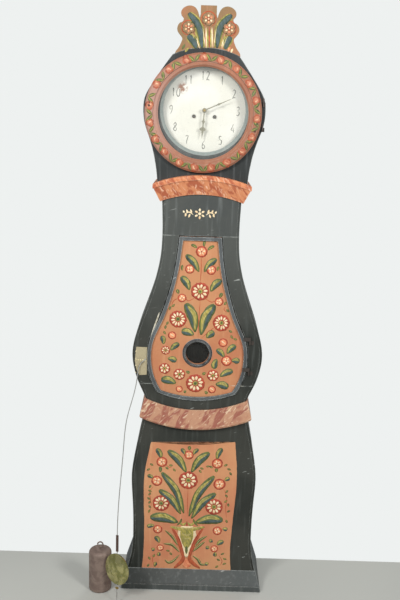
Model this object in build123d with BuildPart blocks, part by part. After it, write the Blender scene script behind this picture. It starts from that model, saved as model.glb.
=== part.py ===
"""A tall painted longcase clock of the Swedish farmhouse kind, as an assembly of separate pieces.

Millimetres. +X is the clock's right as seen from the front, +Y runs from the front to the wall, +Z is up.
The origin is on the floor, under the middle of the case, half way between its front boards and its back.
"""

import math
import os

from build123d import *

os.makedirs("parts", exist_ok=True)

# ---------------------------------------------------------------- driving sizes
case_depth = 200.0  # front face of the boards to the wall
front_board = 18.0  # thickness of the boards that face the room
side_board = 14.0
back_board = 12.0
hood_board = 12.0  # the bent sides of the hood
slide_gap = 0.5  # between the hood and what it slides over

edge_depth = 6.0  # the bevel along the outer edges of the front boards
edge_width = 9.0

base_top = 708.0  # the foot ends here, hidden by the lower collar
trunk_top = 1540.0  # the trunk's front ends here, hidden by the upper collar
stile_bottom = 818.0  # glue line between the side stiles and the bottom rail
door_top = 1370.0
door_gap = 3.0
door_thickness = 16.0
bead_width = 13.0
bead_rise = 7.0

lens_height = 940.0  # centre of the round window in the door
lens_radius = 43.0
lens_ring_width = 12.0
lens_ring_rise = 6.0

plinth_height = 62.0
plinth_fillet = 22.0  # the upright band at the plinth's foot
plinth_end_foot = 8.0  # the same band at its two ends
plinth_rise = 50.0  # how far the plinth stands in front of the boards
plinth_half = 268.0

lower_collar_centre = 1170.0  # height of the point that the lower collar's arcs turn about
lower_collar_top = 450.0
lower_collar_bottom = 522.0
upper_collar_centre = 1113.0
upper_collar_bottom = 407.0
upper_collar_top = 475.0

dial_height = 1808.0  # centre of the dial and of the hands
dial_opening = 142.0
dial_opening_front = 152.0
dial_radius = 152.0
dial_thickness = 2.0
dial_setback = 12.0  # behind the hood's front board

bezel_shift = -4.0  # the door ring has sagged a little on its hinges
bezel_drop = -11.0
bezel_outer = 201.0
bezel_inner = 155.0
bezel_thickness = 22.0
bezel_gap = 2.0
glass_thickness = 2.0
glass_rebate = 6.0

seat_top = 1688.0
seat_thickness = 16.0

# ---------------------------------------------------------------- worked out from them
front = -case_depth / 2
back = case_depth / 2
hood_front_y = front - slide_gap
hood_bottom = trunk_top + slide_gap
bezel_x = bezel_shift
bezel_z = dial_height + bezel_drop

# Half widths of the case at heights above the floor, (half width, height).
base_side_line = [
    (256, 0), (252, 40), (247, 62), (237, 105), (230, 150), (228, 210), (229, 290),
    (233, 370), (236, 450), (229, 515), (215, 590), (199, 665), (191, 708),
]
trunk_side_line = [
    (186, 708), (190, 764), (211, 812), (230, 868), (238.5, 930), (227, 1002), (209, 1058),
    (182, 1135), (156, 1224), (142, 1293), (137, 1360), (137, 1420), (140, 1500), (141, 1540),
]
hood_side_line = [
    (157, 1540.5), (159, 1575), (165, 1620), (175, 1668), (189.5, 1715), (203.5, 1755), (210, 1803),
    (205, 1848), (189, 1880), (167, 1914), (141, 1952), (113, 1990),
]
hood_peak = 2015.0
door_side_line = [
    (143, 788), (160, 818), (177, 868), (183, 930), (178, 975), (165, 1015), (143.5, 1062),
    (116.5, 1139), (97.5, 1209), (83, 1292), (78, 1335), (75, 1370),
]
door_bottom = 759.0


# ---------------------------------------------------------------- helpers
def upright(y):
    """The plane that faces the room at depth y: sketch x is the clock's x, sketch y is the height."""
    return Plane.XZ.offset(-y)


def inset(line, distance):
    """The same line moved inwards by a distance, square to its own direction."""
    moved = []
    for i, (x, z) in enumerate(line):
        x0, z0 = line[max(i - 1, 0)]
        x1, z1 = line[min(i + 1, len(line) - 1)]
        length = math.hypot(x1 - x0, z1 - z0)
        moved.append((x - distance * (z1 - z0) / length, z + distance * (x1 - x0) / length))
    return moved


def level_ends(line, z_low, z_high):
    """The same line with its first and last point brought to those heights."""
    ends = list(line)
    ends[0] = (line[0][0], z_low)
    ends[-1] = (line[-1][0], z_high)
    return ends


def mirrored_face(line):
    """A closed sketch between a side line and its mirror image, with straight ends."""
    with BuildSketch() as face:
        with BuildLine():
            Spline(*line)
            Spline(*[(-x, z) for x, z in line])
            Line((line[0][0], line[0][1]), (-line[0][0], line[0][1]))
            Line((line[-1][0], line[-1][1]), (-line[-1][0], line[-1][1]))
        make_face()
    return face.sketch


def arched_face(line, peak):
    """As mirrored_face, with an arc over the top that rises to the peak."""
    x, z = line[-1]
    with BuildSketch() as face:
        with BuildLine():
            Spline(*line)
            Spline(*[(-px, pz) for px, pz in line])
            Line(line[0], (-line[0][0], line[0][1]))
            ThreePointArc((x, z), (0, peak), (-x, z))
        make_face()
    return face.sketch


def door_face(grow):
    """The door's outline, grown all round by a distance."""
    line = inset(door_side_line, -grow)
    line = level_ends(line, line[0][1], door_top + grow)
    x, z = line[0]
    with BuildSketch() as face:
        with BuildLine():
            Spline(*line)
            Spline(*[(-px, pz) for px, pz in line])
            ThreePointArc((x, z), (0, door_bottom - grow), (-x, z))
            Line(line[-1], (-line[-1][0], line[-1][1]))
        make_face()
    return face.sketch


def band(z_low, z_high, half=400.0, x=0.0):
    """Keeps what lies between two heights of the sketch being built."""
    with Locations((x, (z_low + z_high) / 2)):
        Rectangle(2 * half, z_high - z_low, mode=Mode.INTERSECT)


def tooth_points(x, z, teeth, root, tip, foot_share=0.56, tip_share=0.22, turn=0.0):
    """The corners of a toothed outline about (x, z), the first tooth pointing up, turned clockwise by degrees."""
    points = []
    pitch = 2 * math.pi / teeth
    for i in range(teeth):
        middle = math.radians(90 - turn) - i * pitch
        for radius, share in ((root, foot_share), (tip, tip_share), (tip, -tip_share), (root, -foot_share)):
            angle = middle + share * pitch / 2
            points.append((x + radius * math.cos(angle), z + radius * math.sin(angle)))
    return points


def save(piece, label):
    piece.part.label = label
    export_step(piece.part, f"parts/{label}.step")


def bevelled_board(face):
    """A front board over a whole face, with its outer edges bevelled towards the room."""
    with BuildPart() as board:
        with BuildSketch(upright(front)):
            add(face)
        extrude(amount=-front_board)
        rim = board.faces().sort_by(Axis.Y)[0].edges().filter_by(GeomType.BSPLINE)
        chamfer(rim, length=edge_depth, length2=edge_width)
    return board.part


base_face = mirrored_face(base_side_line)
trunk_face = mirrored_face(trunk_side_line)
hood_face = arched_face(hood_side_line, hood_peak)

# ---------------------------------------------------------------- foot of the case
base_inner = mirrored_face(level_ends(inset(base_side_line, side_board), 0, base_top))

with BuildPart() as base_front:
    add(bevelled_board(base_face))
save(base_front, "base_front")

for side, sign in (("left", -1), ("right", 1)):
    with BuildPart() as base_side:
        with BuildSketch(upright(front + front_board)):
            add(base_face)
            add(base_inner, mode=Mode.SUBTRACT)
            band(0, base_top, half=200, x=sign * 200)
        extrude(amount=-(case_depth - front_board - back_board))
    save(base_side, f"base_{side}_side")

floor_thickness = 18.0
floor_lift = 0.0
floor_half = 230.0
with BuildPart() as base_floor:
    with BuildSketch(Plane.XY.offset(floor_lift)):
        with Locations((0, (front_board - back_board) / 2)):
            Rectangle(2 * floor_half, case_depth - front_board - back_board)
    extrude(amount=floor_thickness)
save(base_floor, "base_floor")

plinth_return_top = base_side_line[3]  # where the sloping ends meet the flared base
plinth_slope = [
    (plinth_half, 0.0), (plinth_half, plinth_end_foot), plinth_return_top,
]
plinth_outline = plinth_slope + [(-x, z) for x, z in reversed(plinth_slope)]
with BuildPart() as plinth_front:
    with BuildSketch(Plane.YZ.offset(-plinth_half)):
        with BuildLine():
            Polyline(
                (front, 0),
                (front - plinth_rise, 0),
                (front - plinth_rise, plinth_fillet),
                (front - plinth_rise + 6, plinth_fillet + 3),
                (front, plinth_height),
                close=True,
            )
        make_face()
    extrude(amount=2 * plinth_half)
    with BuildSketch(upright(front)):
        with BuildLine():
            Polyline(*plinth_outline, close=True)
        make_face()
    extrude(amount=2 * plinth_rise, mode=Mode.INTERSECT)
save(plinth_front, "plinth_front")

with BuildPart() as plinth_returns:
    with BuildSketch(upright(front)):
        with BuildLine():
            Polyline(*plinth_outline, close=True)
        make_face()
        add(base_face, mode=Mode.SUBTRACT)
    extrude(amount=-case_depth)
save(plinth_returns, "plinth_returns")

# ---------------------------------------------------------------- trunk
door_opening = door_face(door_gap)

trunk_board = bevelled_board(trunk_face)
rail_split = door_top + door_gap
for label, z_low, z_high, x_low, x_high in (
    ("trunk_top_rail", rail_split, trunk_top, -400, 400),
    ("trunk_bottom_rail", base_top, stile_bottom, -400, 400),
    ("trunk_left_stile", stile_bottom, rail_split, -400, 0),
    ("trunk_right_stile", stile_bottom, rail_split, 0, 400),
):
    with BuildPart() as board:
        add(trunk_board)
        with BuildSketch(upright(front)):
            with Locations(((x_low + x_high) / 2, (z_low + z_high) / 2)):
                Rectangle(x_high - x_low, z_high - z_low)
        extrude(amount=-front_board, mode=Mode.INTERSECT)
        with BuildSketch(upright(front)):
            add(door_opening)
        extrude(amount=-front_board, mode=Mode.SUBTRACT)
    save(board, label)

# The sides run on above the trunk, inside the hood, and carry the seat board.
cheek_half = trunk_side_line[-3][0]
side_line = level_ends(trunk_side_line[:-2] + [(cheek_half, 1480), (cheek_half, seat_top)], base_top, seat_top - seat_thickness)
side_outer = mirrored_face(side_line)
side_inner = mirrored_face(level_ends(inset(side_line, side_board), base_top, seat_top - seat_thickness))
for side, sign in (("left", -1), ("right", 1)):
    with BuildPart() as trunk_side:
        with BuildSketch(upright(front + front_board)):
            add(side_outer)
            add(side_inner, mode=Mode.SUBTRACT)
            band(base_top, seat_top - seat_thickness, half=200, x=sign * 200)
        extrude(amount=-(case_depth - front_board - back_board))
    save(trunk_side, f"trunk_{side}_side")

# ---------------------------------------------------------------- backboards
with BuildPart() as base_back:
    with BuildSketch(upright(back - back_board)):
        add(base_face)
    extrude(amount=-back_board)
save(base_back, "base_backboard")

hood_inside = arched_face(level_ends(inset(hood_side_line, hood_board), trunk_top, 1981), hood_peak - hood_board)
hood_back_fill = arched_face(
    level_ends(inset(hood_side_line, hood_board + slide_gap), trunk_top, 1980), hood_peak - hood_board - slide_gap
)
wall_screw_height = 1600.0
wall_screw_radius = 4.0
with BuildPart() as trunk_back:
    with BuildSketch(upright(back - back_board)):
        add(trunk_face)
        add(hood_back_fill)
        with Locations((0, wall_screw_height)):
            Circle(wall_screw_radius, mode=Mode.SUBTRACT)
    extrude(amount=-back_board)
save(trunk_back, "trunk_backboard")


# ---------------------------------------------------------------- collar mouldings
def arc_profile(centre, profile):
    """A moulding profile of (radius, projection) pairs, swept round a point on the front, as a half ring."""
    with BuildPart() as swept:
        with BuildSketch(Plane.YZ):
            with BuildLine():
                Polyline(*[(front - out, centre + radius) for radius, out in profile], close=True)
            make_face()
        revolve(axis=Axis((0, 0, centre), (0, 1, 0)), revolution_arc=360)
    return swept.part


def front_keep(half, reach, z_low, z_high):
    """The block that a front moulding is mitred to: as wide as the case, and wider further out."""
    with BuildPart() as keep:
        with BuildSketch(Plane.XY.offset(z_low)):
            with BuildLine():
                Polyline(
                    (-half, front), (half, front), (half + reach, front - reach), (-half - reach, front - reach),
                    close=True,
                )
            make_face()
        extrude(amount=z_high - z_low)
    return keep.part


def side_keep(half, reach, z_low, z_high, sign):
    """The block that a side moulding is mitred to."""
    with BuildPart() as keep:
        with BuildSketch(Plane.XY.offset(z_low)):
            with BuildLine():
                Polyline(
                    (sign * half, front), (sign * (half + reach), front - reach),
                    (sign * (half + reach), back), (sign * half, back),
                    close=True,
                )
            make_face()
        extrude(amount=z_high - z_low)
    return keep.part


# Lower collar: hangs in a curve and flares outwards as it goes down.
low_half, low_top_out, low_bottom_out = 186.0, 5.0, 22.0
low_profile = [
    (-lower_collar_top, 0), (-lower_collar_top, low_top_out), (-lower_collar_bottom + 6, low_bottom_out),
    (-lower_collar_bottom, low_bottom_out - 3), (-lower_collar_bottom, 0),
]
with BuildPart() as lower_collar_front:
    add(arc_profile(lower_collar_centre, low_profile))
    add(front_keep(low_half, 40, lower_collar_centre - lower_collar_bottom - 5, 800), mode=Mode.INTERSECT)
save(lower_collar_front, "lower_collar_front")

# Upper collar: rises in a curve and flares outwards as it goes up; it lifts off with the hood.
up_half, up_bottom_out, up_face_out, up_top_out = 141.5, 5.0, 28.0, 31.0
up_fillet = 16.0
up_profile = [
    (upper_collar_bottom, slide_gap), (upper_collar_bottom, up_bottom_out),
    (upper_collar_top - up_fillet, up_face_out), (upper_collar_top - up_fillet, up_top_out),
    (upper_collar_top - 3, up_top_out), (upper_collar_top, up_top_out - 3), (upper_collar_top, slide_gap),
]
with BuildPart() as upper_collar_front:
    add(arc_profile(upper_collar_centre, up_profile))
    add(front_keep(up_half, 40, 1480, 1600), mode=Mode.INTERSECT)
save(upper_collar_front, "upper_collar_front")


def corner_height(centre, radius, half):
    """The height at which an arc about a point on the middle line crosses the case's side."""
    rise = math.sqrt(radius**2 - half**2)
    return centre + rise if radius > 0 else centre - rise


up_low = corner_height(upper_collar_centre, upper_collar_bottom, up_half + up_bottom_out)
up_band = corner_height(upper_collar_centre, upper_collar_top - up_fillet, up_half + up_face_out)
up_high = corner_height(upper_collar_centre, upper_collar_top, up_half + up_top_out)
low_high = corner_height(lower_collar_centre, -lower_collar_top, low_half + low_top_out)
low_low = corner_height(lower_collar_centre, -lower_collar_bottom, low_half + low_bottom_out)
both = (-1, 1)
with BuildPart() as up_returns:
    for sign in both:
        with BuildPart(mode=Mode.PRIVATE) as up_side:
            with BuildSketch(upright(front - 40)):
                with BuildLine():
                    Polyline(*[(sign * x, z) for x, z in [
                        (up_half - 8, up_low), (up_half + up_bottom_out, up_low), (up_half + up_face_out, up_band),
                        (up_half + up_top_out, up_band), (up_half + up_top_out, up_high - 2),
                        (up_half + up_top_out - 3, up_high), (up_half - 8, up_high),
                    ]], close=True)
                make_face()
            extrude(amount=-(case_depth + 40))
            add(side_keep(up_half, 60, 1450, 1600, sign), mode=Mode.INTERSECT)
            with BuildSketch(upright(front - slide_gap)):
                add(hood_face)
                with Locations((0, (trunk_top + 1450) / 2)):
                    Rectangle(2 * up_half + 2 * slide_gap, hood_bottom - 1450 + 20)
                with Locations((0, trunk_top)):
                    Rectangle(2 * up_half + 9, 3)
            extrude(amount=-(case_depth + 1), mode=Mode.SUBTRACT)
        add(up_side.part)
save(up_returns, "upper_collar_returns")

with BuildPart() as low_returns:
    for sign in both:
        with BuildPart(mode=Mode.PRIVATE) as low_side:
            with BuildSketch(upright(front - 40)):
                with BuildLine():
                    Polyline(*[(sign * x, z) for x, z in [
                        (low_half, low_high), (low_half + low_top_out, low_high),
                        (low_half + low_bottom_out, low_low + 6), (low_half + low_bottom_out - 3, low_low),
                        (low_half, low_low),
                    ]], close=True)
                make_face()
            extrude(amount=-(case_depth + 40))
            add(side_keep(low_half, 60, 600, 800, sign), mode=Mode.INTERSECT)
            with BuildSketch(upright(front)):
                add(base_face)
                add(trunk_face)
            extrude(amount=-(case_depth + 1), mode=Mode.SUBTRACT)
        add(low_side.part)
save(low_returns, "lower_collar_returns")

# ---------------------------------------------------------------- hood
hood_depth = case_depth + slide_gap
hood_split = 1986.0
with BuildPart() as hood_front:
    with BuildSketch(upright(hood_front_y)):
        add(hood_face)
        with Locations((0, dial_height)):
            Circle(dial_opening, mode=Mode.SUBTRACT)
    extrude(amount=-front_board)
    with BuildSketch(upright(hood_front_y)):
        with Locations((0, dial_height)):
            Circle(dial_opening_front)
    extrude(amount=-(dial_opening_front - dial_opening), taper=45, mode=Mode.SUBTRACT)
save(hood_front, "hood_front")

for label, low, high, half, x in (
    ("hood_left_side", hood_bottom - 1, hood_split, 200, -200),
    ("hood_right_side", hood_bottom - 1, hood_split, 200, 200),
    ("hood_roof", hood_split, hood_peak + 5, 400, 0),
):
    with BuildPart() as shell:
        with BuildSketch(upright(hood_front_y + front_board)):
            add(hood_face)
            add(hood_inside, mode=Mode.SUBTRACT)
            band(low, high, half=half, x=x)
        extrude(amount=-(hood_depth - front_board))
    save(shell, label)

# The carved crown stands on the hood's front board.
crown_thickness = 18.0
crown_half_line = [
    (111, 1988), (108, 2000), (99, 2012), (90, 2030), (87, 2042), (93, 2052), (104, 2068), (103, 2082), (93, 2094),
    (85, 2099), (84, 2108), (91, 2117), (92, 2129), (83, 2141), (64, 2148), (45, 2142), (35, 2127), (30, 2110),
]
crown_block_half = 27.0  # the square block between the two upper lobes
crown_block_foot = 2122.0
crown_top = 2150.0
flower_spots = ((-66.0, 2077.0), (0.0, 2106.0), (70.0, 2077.0))
crown_shift = 5.0
with BuildPart() as crown_board:
    with BuildSketch(upright(hood_front_y)):
        with BuildLine():
            Spline(*[(x + crown_shift, z) for x, z in crown_half_line[:9]])
            Spline(*[(x + crown_shift, z) for x, z in crown_half_line[8:]])
            Polyline(
                (crown_half_line[-1][0] + crown_shift, crown_half_line[-1][1]),
                (crown_block_half + crown_shift, crown_block_foot),
                (crown_block_half + crown_shift, crown_top),
                (-crown_block_half + crown_shift, crown_top),
                (-crown_block_half + crown_shift, crown_block_foot),
                (-crown_half_line[-1][0] + crown_shift, crown_half_line[-1][1]),
            )
            Spline(*[(-x + crown_shift, z) for x, z in crown_half_line[8:]])
            Spline(*[(-x + crown_shift, z) for x, z in crown_half_line[:9]])
            Line((-111 + crown_shift, 1988), (111 + crown_shift, 1988))
        make_face()
        add(hood_face, mode=Mode.SUBTRACT)
    extrude(amount=-crown_thickness)
    for x, z in flower_spots:
        with BuildSketch(upright(hood_front_y)):
            with Locations((x + crown_shift, z)):
                with PolarLocations(13.0, 6, start_angle=90):
                    Circle(7.5)
                Circle(14.0)
        extrude(amount=5.0)
        with BuildSketch(upright(hood_front_y - 5.0)):
            with Locations((x + crown_shift, z)):
                Circle(7.0)
        extrude(amount=3.0, taper=30)
save(crown_board, "crown_board")

# ---------------------------------------------------------------- hood door: a turned ring with its glass
bezel_back = hood_front_y - bezel_gap
bezel_front = bezel_back - bezel_thickness
with BuildPart() as bezel:
    with BuildSketch(Plane.YZ.offset(bezel_x)):
        with BuildLine():
            Polyline(*[(bezel_back - depth, bezel_z + radius) for depth, radius in [
                (0, bezel_inner + glass_rebate), (4, bezel_inner + glass_rebate), (4, bezel_inner),
                (bezel_thickness - 10, bezel_inner), (bezel_thickness - 4, bezel_inner + 7),
                (bezel_thickness - 4, bezel_inner + 16), (bezel_thickness, bezel_inner + 18),
                (bezel_thickness, bezel_inner + 22), (bezel_thickness - 3, bezel_outer - 7),
                (bezel_thickness - 10, bezel_outer), (0, bezel_outer),
            ]], close=True)
        make_face()
    revolve(axis=Axis((bezel_x, 0, bezel_z), (0, 1, 0)), revolution_arc=360)
save(bezel, "hood_door_ring")

with BuildPart() as glass:
    with BuildSketch(upright(bezel_back - 4)):
        with Locations((bezel_x, bezel_z)):
            Circle(bezel_inner + glass_rebate)
    extrude(amount=-glass_thickness)
save(glass, "hood_door_glass")


# ---------------------------------------------------------------- hinges
def knuckle_pair(label, x, y, radius, heights, length, leaf, hole):
    """Two alike hinge halves on one upright line; leaf is (x low, x high, y low, y high)."""
    x_low, x_high, y_low, y_high = leaf
    with BuildPart() as pair:
        for z in heights:
            with BuildSketch(Plane.XY.offset(z)):
                with Locations((x, y)):
                    Circle(radius)
                with Locations(((x_low + x_high) / 2, (y_low + y_high) / 2)):
                    Rectangle(x_high - x_low, y_high - y_low)
                if hole:
                    with Locations((x, y)):
                        Circle(hole, mode=Mode.SUBTRACT)
            extrude(amount=length)
            if not hole:
                with BuildSketch(Plane.XY.offset(z + length)):
                    with Locations((x, y)):
                        Circle(pin_radius)
                extrude(amount=length)
    save(pair, label)


pin_radius = 1.2  # the pin is driven into the lower, fixed knuckle and the upper one turns on it
pin_gap = 0.35
leaf_thickness = 1.2
knuckle_length = 14.0
knuckle_gap = 0.4

bezel_knuckle = 3.0
bezel_pin_x = bezel_x + bezel_outer + 4.5
bezel_pin_y = hood_front_y - bezel_knuckle - 0.3
bezel_hinges = (bezel_z + 28, bezel_z - 56)
knuckle_pair(
    "hood_hinge_fixed", bezel_pin_x, bezel_pin_y, bezel_knuckle, bezel_hinges, knuckle_length,
    (bezel_pin_x, bezel_pin_x + 7, hood_front_y - leaf_thickness, hood_front_y), 0,
)
knuckle_pair(
    "hood_hinge_moving", bezel_pin_x, bezel_pin_y, bezel_knuckle,
    [z + knuckle_length + knuckle_gap for z in bezel_hinges], knuckle_length,
    (bezel_pin_x - 15, bezel_pin_x, bezel_back, bezel_back + leaf_thickness), pin_radius + pin_gap,
)

door_knuckle = 3.9
door_pin_x = 191.0
door_pin_y = front - bead_rise - leaf_thickness + door_knuckle
door_hinges = (978.0, 862.0)
knuckle_pair(
    "waist_hinge_fixed", door_pin_x, door_pin_y, door_knuckle, door_hinges, knuckle_length,
    (door_pin_x, door_pin_x + 15, front - leaf_thickness, front), 0,
)
knuckle_pair(
    "waist_hinge_moving", door_pin_x, door_pin_y, door_knuckle,
    [z + knuckle_length + knuckle_gap for z in door_hinges], knuckle_length,
    (door_pin_x - 24, door_pin_x, front - bead_rise - leaf_thickness, front - bead_rise), pin_radius + pin_gap,
)

# ---------------------------------------------------------------- waist door
door_outline = door_face(0)
bead_inner = door_face(-bead_width)
with BuildPart() as waist_door:
    with BuildSketch(upright(front)):
        add(door_outline)
        with Locations((0, lens_height)):
            Circle(lens_radius, mode=Mode.SUBTRACT)
    extrude(amount=-door_thickness)
    with BuildSketch(upright(front + door_thickness)):
        with Locations((0, lens_height)):
            Circle(lens_radius + glass_rebate)
    extrude(amount=3.0, mode=Mode.SUBTRACT)
save(waist_door, "waist_door_board")

with BuildPart() as lens_glass:
    with BuildSketch(upright(front + door_thickness - 3.0)):
        with Locations((0, lens_height)):
            Circle(lens_radius + glass_rebate)
    extrude(amount=-glass_thickness)
save(lens_glass, "waist_door_glass")

with BuildPart() as door_bead:
    with BuildSketch(upright(front)):
        add(door_outline)
        add(bead_inner, mode=Mode.SUBTRACT)
    extrude(amount=bead_rise)
save(door_bead, "waist_door_bead")

with BuildPart() as lens_ring:
    with BuildSketch(Plane.YZ):
        with BuildLine():
            Polyline(*[(front - out, lens_height + radius) for out, radius in [
                (0, lens_radius), (lens_ring_rise, lens_radius + 2), (lens_ring_rise, lens_radius + 6),
                (0.6, lens_radius + lens_ring_width), (0, lens_radius + lens_ring_width),
            ]], close=True)
        make_face()
    revolve(axis=Axis((0, 0, lens_height), (0, 1, 0)), revolution_arc=360)
save(lens_ring, "waist_door_lens_ring")

# ---------------------------------------------------------------- movement
plate_thickness = 3.0
front_plate_y = -40.0
back_plate_y = 20.0
plate_half = 75.0
plate_top = dial_height + 80.0
arbor_gap = 0.4
wind_x, wind_z = 36.0, dial_height - 21.0
escape_z = dial_height + 40.0
anchor_z = dial_height + 66.0
third_x, third_z = -18.0, dial_height + 26.0
hammer_x, hammer_z = -45.0, dial_height + 54.0
motion_drop = 36.0  # centre of the hands down to the minute wheel
motion_y = -58.0  # the front end of the minute wheel's post
post_radius = 1.5

with BuildPart() as seat_board:
    with BuildSketch(Plane.XY.offset(seat_top - seat_thickness)):
        Rectangle(2 * cheek_half, 130)
        with Locations((-wind_x, -5), (wind_x, -5)):
            Rectangle(34, 46, mode=Mode.SUBTRACT)
        with Locations((0, 40)):
            Rectangle(24, 30, mode=Mode.SUBTRACT)
    extrude(amount=seat_thickness)
save(seat_board, "seat_board")

holes = {
    # (x, z): (radius in the front plate, radius in the back plate), 0 for no hole
    (0.0, dial_height): (3.0, 1.5),
    (-wind_x, wind_z): (4.0, 2.0),
    (wind_x, wind_z): (4.0, 2.0),
    (third_x, third_z): (1.5, 1.5),
    (0.0, escape_z): (1.5, 1.5),
    (0.0, anchor_z): (1.5, 2.5),
    (hammer_x, hammer_z): (1.5, 1.5),
}
for index, (label, y) in enumerate((("front_plate", front_plate_y), ("back_plate", back_plate_y))):
    with BuildPart() as plate:
        with BuildSketch(upright(y)):
            with Locations((0, (seat_top + plate_top) / 2)):
                Rectangle(2 * plate_half, plate_top - seat_top)
            for spot, radii in holes.items():
                with Locations(spot):
                    Circle(radii[index] + arbor_gap, mode=Mode.SUBTRACT)
        extrude(amount=-plate_thickness)
        if label == "front_plate":  # the post that the minute wheel turns on
            for y_from, y_to, radius in ((motion_y, motion_y + 1.5, 3.2), (motion_y + 1.5, front_plate_y, post_radius)):
                with BuildSketch(upright(y_from)):
                    with Locations((0, dial_height - motion_drop)):
                        Circle(radius)
                extrude(amount=-(y_to - y_from))
        else:  # the cock that the pendulum's spring hangs from
            with BuildSketch(Plane.XY.offset(plate_top - 4)):
                with Locations((0, back_plate_y + plate_thickness + 13.5)):
                    Rectangle(22, 27)
                with Locations((0, back_plate_y + plate_thickness + 22)):
                    Rectangle(1.2, 12, mode=Mode.SUBTRACT)
            extrude(amount=3)
    save(plate, label)

with BuildPart() as pillars:
    with BuildSketch(upright(front_plate_y + plate_thickness)):
        with Locations(*[(x, z) for x in (-67, 67) for z in (seat_top + 9, plate_top - 8)]):
            Circle(4.5)
    extrude(amount=-(back_plate_y - front_plate_y - plate_thickness))
save(pillars, "movement_pillars")


def turned(x, z, steps):
    """Round steps about an axis through (x, z), front to back: (y from, y to, radius)."""
    with BuildPart() as piece:
        for y_from, y_to, radius in steps:
            with BuildSketch(upright(y_from)):
                with Locations((x, z)):
                    Circle(radius)
            extrude(amount=-(y_to - y_from))
    return piece.part


def wheel(x, z, y, thickness, teeth, pitch_radius, turn=0.0, spokes=0, hub=3.0):
    """A wheel with narrow teeth, so that two in mesh keep some play."""
    module = 2 * pitch_radius / teeth
    with BuildPart() as piece:
        with BuildSketch(upright(y)):
            with BuildLine():
                Polyline(
                    *tooth_points(x, z, teeth, pitch_radius - module, pitch_radius + 0.6 * module, turn=turn),
                    close=True,
                )
            make_face()
            if spokes:
                rim = pitch_radius - 3 * module
                window = min((rim - hub) / 2 - 0.8, (rim + hub) / 2 * math.sin(math.pi / spokes) - 1.2)
                with Locations((x, z)):
                    with PolarLocations((hub + rim) / 2, spokes, start_angle=45):
                        Circle(window, mode=Mode.SUBTRACT)
        extrude(amount=-thickness)
    return piece.part


for side, sign in (("strike", -1), ("going", 1)):
    with BuildPart() as drum:
        add(turned(sign * wind_x, wind_z, [
            (-76, -34, 4.0), (-34, -22, 4.5), (-22, -20, 24.0), (-20, 12, 22.0), (12, 14, 24.0), (14, 24, 2.0),
        ]))
        add(wheel(sign * wind_x, wind_z, -34, 3.0, 72, 32.0, spokes=4, hub=6.0))
    save(drum, f"{side}_drum")

with BuildPart() as centre_wheel:
    add(turned(0, dial_height, [(-36.5, -29, 3.0), (-29, -20, 4.0), (-20, 24, 1.5)]))
    add(wheel(0, dial_height, -29, 3.0, 64, 25.4, spokes=4))
save(centre_wheel, "centre_wheel")
with BuildPart() as third_wheel:
    add(turned(third_x, third_z, [(-41, -29.5, 1.5), (-29.5, -25.5, 4.2), (-25.5, -14, 1.5), (-14, 24, 1.5)]))
    add(wheel(third_x, third_z, -10, 3.0, 48, 17.2))
save(third_wheel, "third_wheel")
with BuildPart() as escape_wheel:
    add(turned(0, escape_z, [(-41, -10.5, 1.5), (-10.5, -6.5, 4.0), (-6.5, 24, 1.5)]))
    with BuildSketch(upright(5.0)):
        with BuildLine():
            Polyline(*tooth_points(0, escape_z, 30, 13.0, 16.0, foot_share=0.5, tip_share=0.06), close=True)
        make_face()
    extrude(amount=-2.5)
save(escape_wheel, "escape_wheel")

with BuildPart() as anchor:
    add(turned(0, anchor_z, [(-41, 4, 1.5), (4, 9, 4.0), (9, 34, 2.5)]))
    with BuildSketch(upright(4.5)):
        with BuildLine():
            Polyline(*[(x, anchor_z + z) for x, z in [
                (-15, -17.5), (-17.5, -18.5), (-16, -7), (-5, 5), (0, 7), (5, 5), (16, -7), (17.5, -18.5),
                (15, -17.5), (13.5, -7.5), (3, -4), (-3, -4), (-13.5, -7.5),
            ]], close=True)
        make_face()
    extrude(amount=-3.5)
    with BuildSketch(upright(30)):
        with Locations((0, anchor_z - 45)):
            Rectangle(4, 90)
        with Locations((0, anchor_z)):
            Circle(6)
    extrude(amount=-2)
    with BuildSketch(Plane.XY.offset(anchor_z - 90)):
        with Locations((-4.5, 41), (4.5, 41)):
            Rectangle(2, 22)
        with Locations((0, 31)):
            Rectangle(11, 2)
    extrude(amount=6)
save(anchor, "anchor_and_crutch")

# Motion work, between the dial and the front plate.
cannon_teeth, minute_teeth, pinion_teeth, hour_teeth = 24, 32, 8, 72
cannon_radius = motion_drop * cannon_teeth / (cannon_teeth + minute_teeth)
pinion_radius = motion_drop * pinion_teeth / (pinion_teeth + hour_teeth)
tube_radius = 2.0
with BuildPart() as cannon:
    add(wheel(0, dial_height, motion_y + 11, 3.0, cannon_teeth, cannon_radius))
    add(turned(0, dial_height, [(-89.5, motion_y + 11, tube_radius), (motion_y + 14, -38, tube_radius)]))
save(cannon, "cannon_wheel")

with BuildPart() as hour_wheel:
    add(wheel(0, dial_height, motion_y + 4, 2.5, hour_teeth, motion_drop - pinion_radius, spokes=4, hub=6.0))
    add(turned(0, dial_height, [(-84.0, motion_y + 4, 4.0)]))
    with BuildSketch(upright(-90.0)):
        with Locations((0, dial_height)):
            Circle(tube_radius + arbor_gap)
    extrude(amount=-45.0, mode=Mode.SUBTRACT)
save(hour_wheel, "hour_wheel")

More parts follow.
